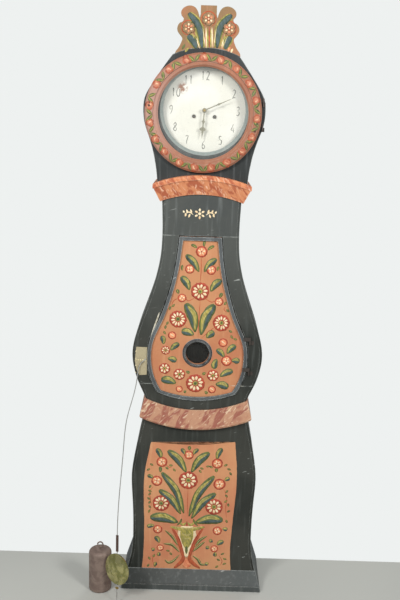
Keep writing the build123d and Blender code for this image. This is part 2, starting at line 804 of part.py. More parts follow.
with BuildPart() as minute_wheel:
    add(wheel(
        0, dial_height - motion_drop, motion_y + 11, 3.0, minute_teeth, motion_drop - cannon_radius, 180 / minute_teeth
    ))
    with BuildSketch(upright(motion_y + 3)):
        with BuildLine():
            m = 2 * pinion_radius / pinion_teeth
            Polyline(
                *tooth_points(
                    0, dial_height - motion_drop, pinion_teeth, pinion_radius - m, pinion_radius + 0.6 * m,
                    0.5, 0.18, 180 / pinion_teeth,
                ),
                close=True,
            )
        make_face()
    extrude(amount=-8.0)
    with BuildSketch(upright(motion_y)):
        with Locations((0, dial_height - motion_drop)):
            Circle(post_radius + arbor_gap)
    extrude(amount=-18.0, mode=Mode.SUBTRACT)
save(minute_wheel, "minute_wheel")

# ---------------------------------------------------------------- dial and hands
dial_y = hood_front_y + front_board + dial_setback
with BuildPart() as dial:
    with BuildSketch(upright(dial_y)):
        with Locations((0, dial_height)):
            Circle(dial_radius)
            Circle(5.5, mode=Mode.SUBTRACT)
        with Locations((-wind_x, wind_z), (wind_x, wind_z)):
            Circle(6.5, mode=Mode.SUBTRACT)
    extrude(amount=-dial_thickness)
    for x in (-62, 62):
        for z in (dial_height - 62, dial_height + 62):
            add(turned(x, z, [(dial_y + dial_thickness, front_plate_y, 2.5)]))
save(dial, "dial")


def hand(label, y, thickness, eye, bore, angle, blade):
    """A flat hand: blade is a list of (along, half width) from the eye to the tip, angle is clockwise from 12."""
    a = math.radians(angle)
    ax, az = math.sin(a), math.cos(a)
    points = [(s * az * w + along * ax, -s * ax * w + along * az + dial_height)
              for s, line in ((1, blade), (-1, blade[::-1])) for along, w in line]
    with BuildPart() as piece:
        with BuildSketch(upright(y)):
            with BuildLine():
                Polyline(*points, close=True)
            make_face()
            with Locations((0, dial_height)):
                Circle(eye)
                Circle(bore, mode=Mode.SUBTRACT)
        extrude(amount=-thickness)
    save(piece, label)


hand("hour_hand", -85.5, 1.5, 8.0, tube_radius + arbor_gap, 184.0, [
    (5, 2.4), (26, 1.6), (34, 3.2), (38, 6.5), (42, 3.2), (48, 2.2), (56, 2.6), (62, 10.0), (67, 10.6), (70, 4.0),
    (78, 3.0), (88, 1.2), (96, 0.4),
])
hand("minute_hand", -89.5, 1.5, 6.5, tube_radius, 66.0, [
    (5, 2.2), (40, 1.3), (50, 2.4), (54, 4.4), (58, 2.4), (66, 1.5), (90, 1.1), (103, 0.4),
])
with BuildPart() as nut:
    add(turned(0, dial_height, [(-92.5, -89.5, 4.0)]))
save(nut, "hand_nut")

# ---------------------------------------------------------------- bell and hammer
bell_x, bell_y, bell_rim = 20.0, 2.0, plate_top + 18.0
bell_radius, bell_height, bell_wall = 38.0, 27.0, 2.5
bell_steps = [math.radians(7.5 * i) for i in range(13)]
with BuildPart() as bell:
    with BuildSketch(Plane.XZ.offset(-bell_y)):
        with BuildLine():
            Polyline(*[
                (bell_x + (bell_radius - wall) * math.cos(a), bell_rim + (bell_height - wall) * math.sin(a))
                for wall, steps in ((0, bell_steps), (bell_wall, bell_steps[::-1])) for a in steps
            ], close=True)
        make_face()
    revolve(axis=Axis((bell_x, bell_y, 0), (0, 0, 1)), revolution_arc=360)
save(bell, "bell")

stand_y = back_plate_y + plate_thickness
stand_bar = 4.0
with BuildPart() as bell_stand:
    with BuildSketch(Plane.YZ.offset(bell_x - 4)):
        with BuildLine():
            Polyline(*[(stand_y + y, z) for y, z in [
                (0, plate_top - 30), (stand_bar, plate_top - 30), (stand_bar, plate_top - 6),
                (24, plate_top + 4), (24, bell_rim + bell_height + stand_bar),
                (bell_y - stand_y - 5, bell_rim + bell_height + stand_bar),
                (bell_y - stand_y - 5, bell_rim + bell_height),
                (24 - stand_bar, bell_rim + bell_height), (24 - stand_bar, plate_top + 7),
                (0, plate_top - 2),
            ]], close=True)
        make_face()
    extrude(amount=8)
save(bell_stand, "bell_stand")

with BuildPart() as hammer:
    add(turned(hammer_x, hammer_z, [(-41, 0, 1.5), (0, 4, 4.5), (4, 24, 1.5)]))
    with BuildSketch(upright(0)):
        with BuildLine():
            Polyline(
                (hammer_x - 2, hammer_z), (hammer_x + 2, hammer_z), (-28, bell_rim + 1), (-32, bell_rim + 1),
                close=True,
            )
        make_face()
    extrude(amount=-4)
    with BuildSketch(Plane.XY.offset(bell_rim)):
        with Locations((-29, 2)):
            Rectangle(14, 8)
    extrude(amount=10)
save(hammer, "hammer")

# ---------------------------------------------------------------- weights
weight_radius, weight_height = 43.0, 164.0
hook_wire = 2.6
for label, x, y, z in (
    ("floor_weight", -349.0, -146.0, 0.0),
    ("case_weight", 60.0, 0.0, floor_lift + floor_thickness),
):
    top = z + weight_height
    with BuildPart() as weight:
        with BuildSketch(Plane.XZ.offset(-y)):
            with BuildLine():
                Polyline((x + weight_radius - 14, top), (x, top), (x, z), (x + weight_radius - 5, z))
                ThreePointArc((x + weight_radius - 5, z), (x + weight_radius - 1.5, z + 1.5), (x + weight_radius, z + 5))
                Line((x + weight_radius, z + 5), (x + weight_radius, top - 14))
                ThreePointArc(
                    (x + weight_radius, top - 14), (x + weight_radius - 4, top - 4), (x + weight_radius - 14, top)
                )
            make_face()
        revolve(axis=Axis((x, y, 0), (0, 0, 1)), revolution_arc=360)
        with BuildLine() as hook_line:
            Line((x, y, top - 5), (x, y, top + 8))
            ThreePointArc((x, y, top + 8), (x + 10, y, top + 19), (x, y, top + 29))
            ThreePointArc((x, y, top + 29), (x - 7, y, top + 26), (x - 10, y, top + 19))
        with BuildSketch(Plane.XY.offset(top - 5)):
            with Locations((x, y)):
                Circle(hook_wire)
        sweep(path=hook_line.line, transition=Transition.ROUND)
    save(weight, label)

# ---------------------------------------------------------------- pendulum, off the clock, leaning on the case
rod_radius = 1.6
foot = Vector(-274.0, -249.0, 1.8)
knee = Vector(-278.0, -207.0, 261.0)
rod_points = [knee, (-272.5, -180, 432), (-263, -157, 574), (-253, -139, 689), (-219.5, -116, 835), (-207, -106, 896)]
rod_way = (knee - foot).normalized()
with BuildPart() as rod:
    with BuildLine() as rod_path:
        Line(foot, knee)
        curve = Spline(*rod_points, tangents=[rod_way, (0.5, 0.12, 0.85)])
        Line(curve @ 1, (-188.0, -103.2, 914.0))
    with BuildSketch(Plane(origin=foot, z_dir=rod_way)):
        Circle(rod_radius)
    sweep(path=rod_path.line, transition=Transition.ROUND)
save(rod, "pendulum_rod")


def on_rod(height):
    """The point of the rod's straight part at a height."""
    return foot + rod_way * ((height - foot.Z) / rod_way.Z)


bob_centre = on_rod(129.5)
bob_radius, bob_half, bob_edge = 58.0, 13.0, 2.0
bob_turn = math.radians(-38.0)
bob_axis = Vector(math.sin(bob_turn), -math.cos(bob_turn), 0.0)
bob_axis = (bob_axis - rod_way * bob_axis.dot(rod_way)).normalized()
bob_plane = Plane(origin=bob_centre, x_dir=bob_axis.cross(rod_way), z_dir=rod_way * -1)
bob_steps = [i / 10 for i in range(11)]
bob_rise = [bob_edge + (bob_half - bob_edge) * math.cos(math.pi / 2 * t) ** 1.2 for t in bob_steps]
with BuildPart() as bob:
    with BuildSketch(bob_plane):
        with BuildLine():
            Polyline(*[(bob_radius * t, sign * rise) for sign, order in ((1, 1), (-1, -1))
                       for t, rise in list(zip(bob_steps, bob_rise))[::order]], close=True)
        make_face()
    revolve(axis=Axis(bob_centre, bob_axis), revolution_arc=360)
    with BuildSketch(Plane(origin=foot, z_dir=rod_way)):
        Circle(rod_radius)
    extrude(amount=300, mode=Mode.SUBTRACT)
save(bob, "pendulum_bob")

for label, height, width, depth, length in (("pendulum_sleeve", 196.0, 9.0, 5.0, 62.0), ("pendulum_nut", 56.0, 12.0, 5.0, 6.0)):
    with BuildPart() as piece:
        with BuildSketch(Plane(origin=on_rod(height), x_dir=bob_axis.cross(rod_way), z_dir=rod_way)):
            Rectangle(width, depth)
            Circle(rod_radius, mode=Mode.SUBTRACT)
        extrude(amount=length)
    save(piece, label)

# ---------------------------------------------------------------- the patch on the left stile
patch_thickness = 1.0
with BuildPart() as patch:
    with BuildSketch(upright(front)):
        with BuildLine():
            Polyline(
                (-224, 958), (-184, 957), (-183.5, 905), (-185, 852), (-212, 850), (-223, 872), (-229, 905),
                close=True,
            )
        make_face()
    extrude(amount=patch_thickness)
    with BuildSketch(upright(front - patch_thickness)):
        with Locations(*[(-222 + 6.4 * i, 880 - 0.4 * i) for i in range(6)]):
            Circle(1.7)
    extrude(amount=0.8)
save(patch, "stile_patch")
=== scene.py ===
"""A painted longcase clock: paint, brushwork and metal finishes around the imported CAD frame."""

import math
import random

import bmesh
import bpy
from mathutils import Matrix, Vector
from mathutils.bvhtree import BVHTree


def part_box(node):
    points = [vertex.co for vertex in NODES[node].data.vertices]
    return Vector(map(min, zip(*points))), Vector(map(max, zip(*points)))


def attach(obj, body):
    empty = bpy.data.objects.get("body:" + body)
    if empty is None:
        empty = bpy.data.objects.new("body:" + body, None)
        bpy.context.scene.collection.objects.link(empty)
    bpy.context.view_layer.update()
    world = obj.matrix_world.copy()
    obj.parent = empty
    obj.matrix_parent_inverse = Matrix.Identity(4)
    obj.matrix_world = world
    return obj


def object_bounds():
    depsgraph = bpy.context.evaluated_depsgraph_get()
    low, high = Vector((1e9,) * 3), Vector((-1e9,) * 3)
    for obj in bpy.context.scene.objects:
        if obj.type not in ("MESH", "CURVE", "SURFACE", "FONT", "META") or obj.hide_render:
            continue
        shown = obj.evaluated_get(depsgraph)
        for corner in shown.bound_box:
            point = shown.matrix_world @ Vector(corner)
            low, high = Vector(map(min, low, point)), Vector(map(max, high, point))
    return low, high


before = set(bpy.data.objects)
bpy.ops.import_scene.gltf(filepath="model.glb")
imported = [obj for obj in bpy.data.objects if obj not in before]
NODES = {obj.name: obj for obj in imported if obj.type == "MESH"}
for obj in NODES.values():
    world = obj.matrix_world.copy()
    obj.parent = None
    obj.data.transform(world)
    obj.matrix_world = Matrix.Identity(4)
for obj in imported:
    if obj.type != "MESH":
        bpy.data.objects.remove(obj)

cad_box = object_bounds()
MM = 0.001
rng = random.Random(7)


# ---------------------------------------------------------------- colours

def srgb(red, green, blue):
    """Screen values from 0 to 255 as the linear colour that shaders take."""
    def linear(value):
        value /= 255.0
        return value / 12.92 if value <= 0.04045 else ((value + 0.055) / 1.055) ** 2.4
    return (linear(red), linear(green), linear(blue), 1.0)


CREAM = srgb(232, 208, 166)
FLOWER_RED = srgb(158, 66, 50)
ROSE_ORANGE = srgb(214, 132, 96)
LEAF_GREEN = srgb(92, 104, 66)
LEAF_OLIVE = srgb(146, 138, 78)
LEAF_BLUE = srgb(72, 88, 82)
STEM_BROWN = srgb(168, 84, 58)
PANEL_ORANGE = srgb(196, 138, 98)
CASE_BLACK = srgb(58, 59, 54)
# The default worn colour: bare wood at worn edges, partly painted highlight.
BARE_WOOD_AND_HIGHLIGHT = srgb(176, 158, 130)


# ---------------------------------------------------------------- shader building

class Finish:
    """A procedural material, put together from short calls that each add a node."""

    def __init__(self, name, roughness=0.5, metallic=0.0, specular=0.4):
        self.material = bpy.data.materials.new(name)
        self.material.use_nodes = True
        self.tree = self.material.node_tree
        self.shader = self.tree.nodes["Principled BSDF"]
        self.shader.inputs["Roughness"].default_value = roughness
        self.shader.inputs["Metallic"].default_value = metallic
        self.shader.inputs["Specular IOR Level"].default_value = specular
        self.place = self.tree.nodes.new("ShaderNodeTexCoord").outputs["Object"]

    def node(self, kind, **settings):
        made = self.tree.nodes.new(kind)
        for name, value in settings.items():
            setattr(made, name, value)
        return made

    def feed(self, socket, value):
        """Links an output, or sets a plain number or colour, on an input socket."""
        if isinstance(value, bpy.types.NodeSocket):
            self.tree.links.new(value, socket)
        else:
            socket.default_value = value

    def stretched(self, stretch, turn=(0.0, 0.0, 0.0)):
        """The place turned by degrees about each axis, and after that stretched along each axis."""
        turned = self.node("ShaderNodeMapping")
        self.feed(turned.inputs["Vector"], self.place)
        self.feed(turned.inputs["Rotation"], [math.radians(angle) for angle in turn])
        scaled = self.node("ShaderNodeMapping")
        self.feed(scaled.inputs["Vector"], turned.outputs[0])
        self.feed(scaled.inputs["Scale"], stretch)
        return scaled.outputs[0]

    def noise(self, scale, detail=4.0, stretch=(1.0, 1.0, 1.0), turn=(0.0, 0.0, 0.0), swirl=0.0):
        noise = self.node("ShaderNodeTexNoise")
        self.feed(noise.inputs["Vector"], self.stretched(stretch, turn))
        self.feed(noise.inputs["Scale"], scale)
        self.feed(noise.inputs["Detail"], detail)
        self.feed(noise.inputs["Distortion"], swirl)
        return noise.outputs["Fac"]

    def band(self, value, low, high, bottom=0.0, top=1.0):
        """Follows value smoothly from bottom at low to top at high."""
        ranged = self.node("ShaderNodeMapRange", interpolation_type="SMOOTHSTEP")
        for name, given in zip(("Value", "From Min", "From Max", "To Min", "To Max"),
                               (value, low, high, bottom, top)):
            self.feed(ranged.inputs[name], given)
        return ranged.outputs["Result"]

    def combine(self, operation, first, second):
        """One arithmetic step on two values, such as MULTIPLY or MAXIMUM."""
        maths = self.node("ShaderNodeMath", operation=operation)
        self.feed(maths.inputs[0], first)
        self.feed(maths.inputs[1], second)
        return maths.outputs[0]

    def mix(self, share, first, second):
        mixer = self.node("ShaderNodeMix", data_type="RGBA")
        self.feed(mixer.inputs[0], share)
        self.feed(mixer.inputs[6], first)
        self.feed(mixer.inputs[7], second)
        return mixer.outputs[2]

    def edges(self, width):
        """1 along the corners of the mesh, 0 on its flat faces."""
        bevel = self.node("ShaderNodeBevel", samples=4)
        self.feed(bevel.inputs["Radius"], width)
        dot = self.node("ShaderNodeVectorMath", operation="DOT_PRODUCT")
        self.feed(dot.inputs[0], bevel.outputs[0])
        self.feed(dot.inputs[1], self.node("ShaderNodeNewGeometry").outputs["Normal"])
        return self.band(dot.outputs["Value"], 0.995, 0.86)

    def near(self, centre, radius, softness=0.65):
        """1 at a point given in metres, falling to 0 at the radius."""
        offset = self.node("ShaderNodeVectorMath", operation="DISTANCE")
        self.feed(offset.inputs[0], self.place)
        self.feed(offset.inputs[1], centre)
        return self.band(offset.outputs["Value"], radius, radius * (1 - softness))

    def height(self, low, high):
        """0 below one height in metres, rising to 1 at the other."""
        parts = self.node("ShaderNodeSeparateXYZ")
        self.feed(parts.inputs[0], self.place)
        return self.band(parts.outputs["Z"], low, high)

    def finish(self, colour, roughness=None, height=None, depth=0.4 * MM, strength=0.5):
        self.feed(self.shader.inputs["Base Color"], colour)
        if roughness is not None:
            self.feed(self.shader.inputs["Roughness"], roughness)
        if height is not None:
            bump = self.node("ShaderNodeBump")
            self.feed(bump.inputs["Strength"], strength)
            self.feed(bump.inputs["Distance"], depth)
            self.feed(bump.inputs["Height"], height)
            self.feed(self.shader.inputs["Normal"], bump.outputs[0])
        return self.material


def painted_wood(name, base, shade, light, worn=BARE_WOOD_AND_HIGHLIGHT, wear=0.6, grain=(70.0, 70.0, 5.0), overcoat_and_painted_light=None):
    """Old oil paint on boards: clouded, brushed along the grain, scratched, and turned to the worn colour
    along the edges, partly worn paint and partly painted highlight.

    overcoat_and_painted_light(paint) may return the mask and the colour laid over part of the first paint: a
    second paint on the hood's front board, painted light on the trunk and on the door ring.
    """
    paint = Finish(name, specular=0.35)
    clouds = paint.noise(4.5, 4.0)
    brushed = paint.noise(1.0, 5.0, stretch=grain)
    speckle = paint.noise(210.0, 3.0)
    colour = paint.mix(paint.band(clouds, 0.36, 0.64), shade, base)
    if overcoat_and_painted_light:
        mask, second = overcoat_and_painted_light(paint)
        colour = paint.mix(mask, colour, second)
    colour = paint.mix(paint.band(brushed, 0.50, 0.78, top=0.55), colour, light)
    colour = paint.mix(paint.band(speckle, 0.62, 0.74, top=0.35), colour, shade)
    scratches = paint.noise(1.0, 2.0, stretch=(26.0, 26.0, 150.0), turn=(0.0, 18.0, 0.0))
    chips = paint.combine("MULTIPLY", paint.band(scratches, 0.70, 0.74), paint.band(clouds, 0.5, 0.62))
    # Edges turn to the worn colour: partly worn paint, partly painted highlight along every corner.
    worn_and_highlit_edges = paint.combine("MULTIPLY", paint.edges(4.0 * MM), paint.band(paint.noise(46.0, 5.0), 0.30, 0.56))
    bare_and_highlit = paint.combine("MAXIMUM", chips, worn_and_highlit_edges)
    colour = paint.mix(paint.combine("MULTIPLY", bare_and_highlit, wear), colour, worn)
    roughness = paint.band(speckle, 0.3, 0.7, 0.42, 0.66)
    grit = paint.combine("MULTIPLY", speckle, 0.4)
    relief = paint.combine("SUBTRACT", paint.combine("ADD", brushed, grit), bare_and_highlit)
    return paint.finish(colour, roughness, relief)


def marbled(name, base, dark, light, turn):
    """Feathered imitation marble: dark and light strokes swept aslant over a ground colour."""
    paint = Finish(name, specular=0.4)
    sweep = paint.noise(1.0, 4.0, stretch=(46.0, 24.0, 14.0), turn=(0.0, turn, 0.0), swirl=0.9)
    veins = paint.noise(1.0, 6.0, stretch=(80.0, 40.0, 24.0), turn=(0.0, turn - 12.0, 0.0), swirl=1.6)
    colour = paint.mix(paint.band(sweep, 0.44, 0.60), base, dark)
    colour = paint.mix(paint.band(veins, 0.54, 0.68, top=0.9), colour, light)
    blotch = paint.noise(24.0, 3.0, swirl=0.8)
    colour = paint.mix(paint.band(blotch, 0.56, 0.74, top=0.5), colour, dark)
    # Edges lightened towards the light colour: partly worn paint, partly painted highlight.
    worn_and_highlit_edges = paint.combine("MULTIPLY", paint.edges(5.0 * MM), paint.band(paint.noise(60.0, 4.0), 0.40, 0.62))
    colour = paint.mix(paint.combine("MULTIPLY", worn_and_highlit_edges, 0.6), colour, light)
    return paint.finish(colour, paint.band(veins, 0.3, 0.7, 0.36, 0.6), veins, strength=0.35)


def brush_paint(name, base, shade, light):
    """One colour of the brushwork, streaked by the bristles and thinned where it has worn."""
    paint = Finish(name, specular=0.35)
    bristles = paint.noise(1.0, 3.0, stretch=(150.0, 150.0, 46.0), turn=(0.0, 24.0, 0.0))
    thin = paint.noise(64.0, 4.0)
    colour = paint.mix(paint.band(bristles, 0.42, 0.62), base, light)
    colour = paint.mix(paint.band(thin, 0.52, 0.70, top=0.75), colour, shade)
    return paint.finish(colour, paint.band(thin, 0.3, 0.7, 0.4, 0.65), bristles, depth=0.2 * MM)


def bare_boards(name):
    """Unpainted pine: long grain, darker rings and grey dust."""
    wood = Finish(name, specular=0.25)
    grain = wood.noise(1.0, 6.0, stretch=(95.0, 95.0, 4.0), swirl=0.6)
    rings = wood.noise(1.0, 2.0, stretch=(22.0, 22.0, 1.1))
    colour = wood.mix(wood.band(grain, 0.38, 0.66), srgb(120, 92, 64), srgb(166, 136, 100))
    colour = wood.mix(wood.band(rings, 0.48, 0.62, top=0.5), colour, srgb(98, 74, 52))
    return wood.finish(colour, wood.band(grain, 0.3, 0.7, 0.6, 0.82), grain)


def metal(name, base, tarnish, pit_and_glint_colour, roughness, metallic=1.0, tarnished=0.6, pit_and_glint_share=0.35):
    """Bare metal gone dull in clouds, with small spots: darker pits on most metals, and on the pendulum bob
    light blue-white spots of painted reflection.
    """
    plate = Finish(name, metallic=metallic, specular=0.5)
    clouds = plate.noise(34.0, 5.0, swirl=0.5)
    pits_and_glints = plate.noise(260.0, 3.0)
    colour = plate.mix(plate.band(clouds, 0.40, 0.62, top=tarnished), base, tarnish)
    colour = plate.mix(plate.band(pits_and_glints, 0.60, 0.70, top=pit_and_glint_share), colour, pit_and_glint_colour)
    gloss = plate.band(clouds, 0.35, 0.65, roughness, min(roughness + 0.22, 1.0))
    return plate.finish(colour, gloss, pits_and_glints, depth=0.15 * MM)


def pane(name, tint, dust_and_shade_colour, film):
    """Old glass under a clouded film; film is how much the film hides. On the main glass the film is dust; on
    the lens the near-black tint and film are painted shade.
    """
    glass = Finish(name, specular=0.5)
    dust = glass.noise(18.0, 5.0)
    glass.feed(glass.shader.inputs["Alpha"], glass.band(dust, 0.35, 0.75, film * 0.6, film))
    colour = glass.mix(dust, tint, dust_and_shade_colour)
    return glass.finish(colour, glass.band(dust, 0.3, 0.7, 0.03, 0.10))


def dial_enamel(name):
    """White painted iron, greyer and yellower round the rim as painted shade under the edge of the hood's
    opening, with a rust spot and fine grey crazing.
    """
    dial = Finish(name, specular=0.4)
    low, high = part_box("dial")
    centre = (low + high) / 2
    clouds = dial.noise(9.0, 5.0)
    colour = dial.mix(dial.band(clouds, 0.35, 0.68), srgb(236, 235, 228), srgb(226, 225, 214))
    # A greyish yellow band round the rim: painted shade where the hood board's opening overhangs the sunken
    # dial.
    rim = dial.combine("SUBTRACT", 1.0, dial.near(centre, (high.x - low.x) / 2 * 1.04, 0.3))
    rim = dial.band(rim, 0.80, 1.0, top=0.85)
    colour = dial.mix(rim, colour, srgb(206, 202, 178))
    spot_place = Vector((centre.x - 78 * MM, low.y, centre.z + 74 * MM))
    spot = dial.near(spot_place, 24 * MM)
    ragged = dial.combine("MULTIPLY", spot, dial.band(dial.noise(95.0, 5.0), 0.40, 0.60))
    colour = dial.mix(ragged, colour, srgb(150, 106, 82))
    specks = dial.band(dial.noise(150.0, 2.0), 0.72, 0.76, top=0.7)
    colour = dial.mix(specks, colour, srgb(150, 150, 140))
    return dial.finish(colour, dial.band(clouds, 0.3, 0.7, 0.34, 0.5), clouds, strength=0.2)


def stage_surface(name, first_colour, second_colour, roughness):
    """A matt floor, faintly clouded between two colours."""
    surface = Finish(name, specular=0.2)
    clouds = surface.noise(0.8, 2.0)
    colour = surface.mix(surface.band(clouds, 0.35, 0.65), first_colour, second_colour)
    return surface.finish(colour, surface.band(clouds, 0.3, 0.7, roughness, roughness + 0.1))


# ---------------------------------------------------------------- finishes of the CAD nodes

NECK_GREY = srgb(76, 79, 76)
# The light grey of worn edges: partly worn paint, partly painted highlight.
WORN_AND_HIGHLIT_GREY = srgb(168, 172, 168)
DUSTY_GREY = srgb(86, 90, 87)


def greying_upwards(paint):
    """The trunk's black turns to the grey of the neck higher up: painted light, lighter towards the top where
    the lamps above light it more.
    """
    return paint.height(0.90, 1.40), NECK_GREY


def grey_bevel(paint):
    """The bevel of the round opening in the hood is a lighter blue-grey."""
    low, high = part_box("hood_front")
    dial_low, dial_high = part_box("dial")
    dial_middle = (dial_low + dial_high) / 2
    middle = Vector((dial_middle.x, (low.y + high.y) / 2, dial_middle.z))
    return paint.near(middle, 154 * MM, 0.012), srgb(136, 146, 143)


def paler_sides(paint):
    """The door ring is paler and pinker towards its left side: painted light falling from the left."""
    low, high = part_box("hood_door_ring")
    left = Vector((low.x, low.y, (low.z + high.z) / 2))
    return paint.near(left, 0.24, 0.9), srgb(172, 134, 122)


black_paint = painted_wood(
    "case_black", CASE_BLACK, srgb(40, 43, 39), DUSTY_GREY, WORN_AND_HIGHLIT_GREY, wear=0.75, overcoat_and_painted_light=greying_upwards)
neck_grey = painted_wood(
    "neck_paint", NECK_GREY, srgb(66, 70, 69), srgb(118, 123, 122), WORN_AND_HIGHLIT_GREY, wear=0.75)
orange_paint = painted_wood("door_paint", PANEL_ORANGE, srgb(184, 118, 84), srgb(208, 156, 116), wear=0.3)

SLOT_FINISH = {
    "case_black": black_paint,
    "base_front_paint": black_paint,
    "neck_paint": neck_grey,
    "door_paint": orange_paint,
    "bead_paint": painted_wood(
        "bead_paint", srgb(90, 94, 96), srgb(68, 72, 74), srgb(124, 130, 132), srgb(182, 186, 184), wear=0.9),
    "upper_collar_paint": marbled(
        "upper_collar_paint", srgb(214, 140, 98), srgb(176, 96, 66), srgb(236, 188, 158), 38.0),
    "lower_collar_paint": marbled(
        "lower_collar_paint", srgb(184, 138, 110), srgb(152, 92, 76), srgb(216, 188, 158), -36.0),
    "plinth_paint": painted_wood(
        "plinth_paint", srgb(80, 84, 83), srgb(60, 64, 62), srgb(112, 116, 114), WORN_AND_HIGHLIT_GREY, wear=0.6),
    "crown_paint": painted_wood(
        "crown_paint", srgb(178, 112, 80), srgb(136, 110, 76), srgb(190, 138, 110), srgb(140, 128, 104),
        wear=0.8),
    "ring_paint": painted_wood(
        "ring_paint", srgb(170, 110, 82), srgb(154, 104, 82), srgb(188, 138, 112), srgb(204, 184, 170),
        wear=0.5, overcoat_and_painted_light=paler_sides),
    "hood_edge_paint": painted_wood(
        "hood_edge_paint", srgb(58, 62, 63), srgb(42, 46, 46), srgb(100, 104, 105), WORN_AND_HIGHLIT_GREY, wear=0.75,
        overcoat_and_painted_light=grey_bevel),
    "raw_wood": bare_boards("raw_wood"),
    "glass": pane("glass", srgb(214, 224, 222), srgb(232, 232, 226), 0.08),
    "dial_paint": dial_enamel("dial_paint"),
    "hand_steel": metal("hand_steel", srgb(158, 156, 138), srgb(128, 124, 100), srgb(96, 90, 70), 0.38, 0.7),
    "movement_brass": metal("movement_brass", srgb(206, 172, 96), srgb(150, 122, 68), srgb(92, 76, 44), 0.28),
    "movement_steel": metal(
        "movement_steel", srgb(170, 172, 174), srgb(118, 116, 112), srgb(84, 66, 50), 0.32),
    "bell_metal": metal("bell_metal", srgb(196, 168, 110), srgb(140, 122, 84), srgb(86, 82, 60), 0.26),
    "weight_iron": metal(
        "weight_iron", srgb(136, 118, 108), srgb(112, 94, 86), srgb(84, 70, 64), 0.6, 0.2, 0.7, 0.5),
    "rod_steel": metal("rod_steel", srgb(176, 176, 172), srgb(138, 136, 132), srgb(96, 88, 80), 0.4, 0.6),
    # The bob's small blue-white spots are painted reflection.
    "bob_brass": metal(
        "bob_brass", srgb(204, 196, 138), srgb(140, 140, 84), srgb(232, 236, 238), 0.16, 1.0, 0.8),
    "sleeve_iron": metal("sleeve_iron", srgb(96, 74, 66), srgb(74, 56, 50), srgb(54, 40, 36), 0.5, 0.5),
    "patch_metal": metal(
        "patch_metal", srgb(188, 176, 144), srgb(166, 154, 124), srgb(122, 112, 88), 0.44, 0.3),
    "hinge_iron": metal("hinge_iron", srgb(84, 78, 74), srgb(64, 58, 54), srgb(92, 62, 46), 0.5, 0.7),
}


# Nodes that share a slot of the record but have their own shade of its finish.
OWN_FINISH = {
    # The lens glass is near black and almost opaque: painted shade of the dark case behind it.
    "waist_door_glass": pane("lens_shade_glass", srgb(34, 34, 33), srgb(58, 58, 56), 0.80),
    "waist_door_lens_ring": painted_wood(
        "lens_ring_paint", srgb(66, 67, 68), srgb(50, 51, 53), srgb(100, 103, 105), srgb(172, 175, 174),
        wear=0.9),
}


def dress_frame():
    """Gives every CAD node the finish of the material slot that the record names for it."""
    for node in NODES.values():
        for slot in node.material_slots:
            plain_name = slot.material.name.split(".")[0]
            slot.material = OWN_FINISH.get(node.name, SLOT_FINISH[plain_name])


# ---------------------------------------------------------------- brush strokes as raised paint

EMBED = 0.25 * MM  # how deep a stroke is rooted in the wood
# Across a stroke: (side, height) as shares of its half width and of its rise.
SECTION = ((-1.0, 0.1), (-0.55, 0.8), (0.0, 1.0), (0.55, 0.8), (1.0, 0.1))
# Along a dab's radius: (share of the radius, share of the rise), where None is below the ground.
DAB_SECTION = ((1.0, None), (1.0, 0.15), (0.86, 0.8), (0.5, 1.0))


class Ground:
    """The front surface of CAD nodes, which says how far forward it stands at any (x, z)."""

    def __init__(self, names):
        corners, faces = [], []
        for name in names:
            mesh = NODES[name].data
            start = len(corners)
            corners += [vertex.co.copy() for vertex in mesh.vertices]
            faces += [[start + index for index in face.vertices] for face in mesh.polygons]
        self.tree = BVHTree.FromPolygons(corners, faces)
        self.front = min(corner.y for corner in corners)

    def forward(self, x, z):
        hit = self.tree.ray_cast(Vector((x, self.front - 1.0, z)), Vector((0.0, 1.0, 0.0)))[0]
        return self.front if hit is None else hit.y


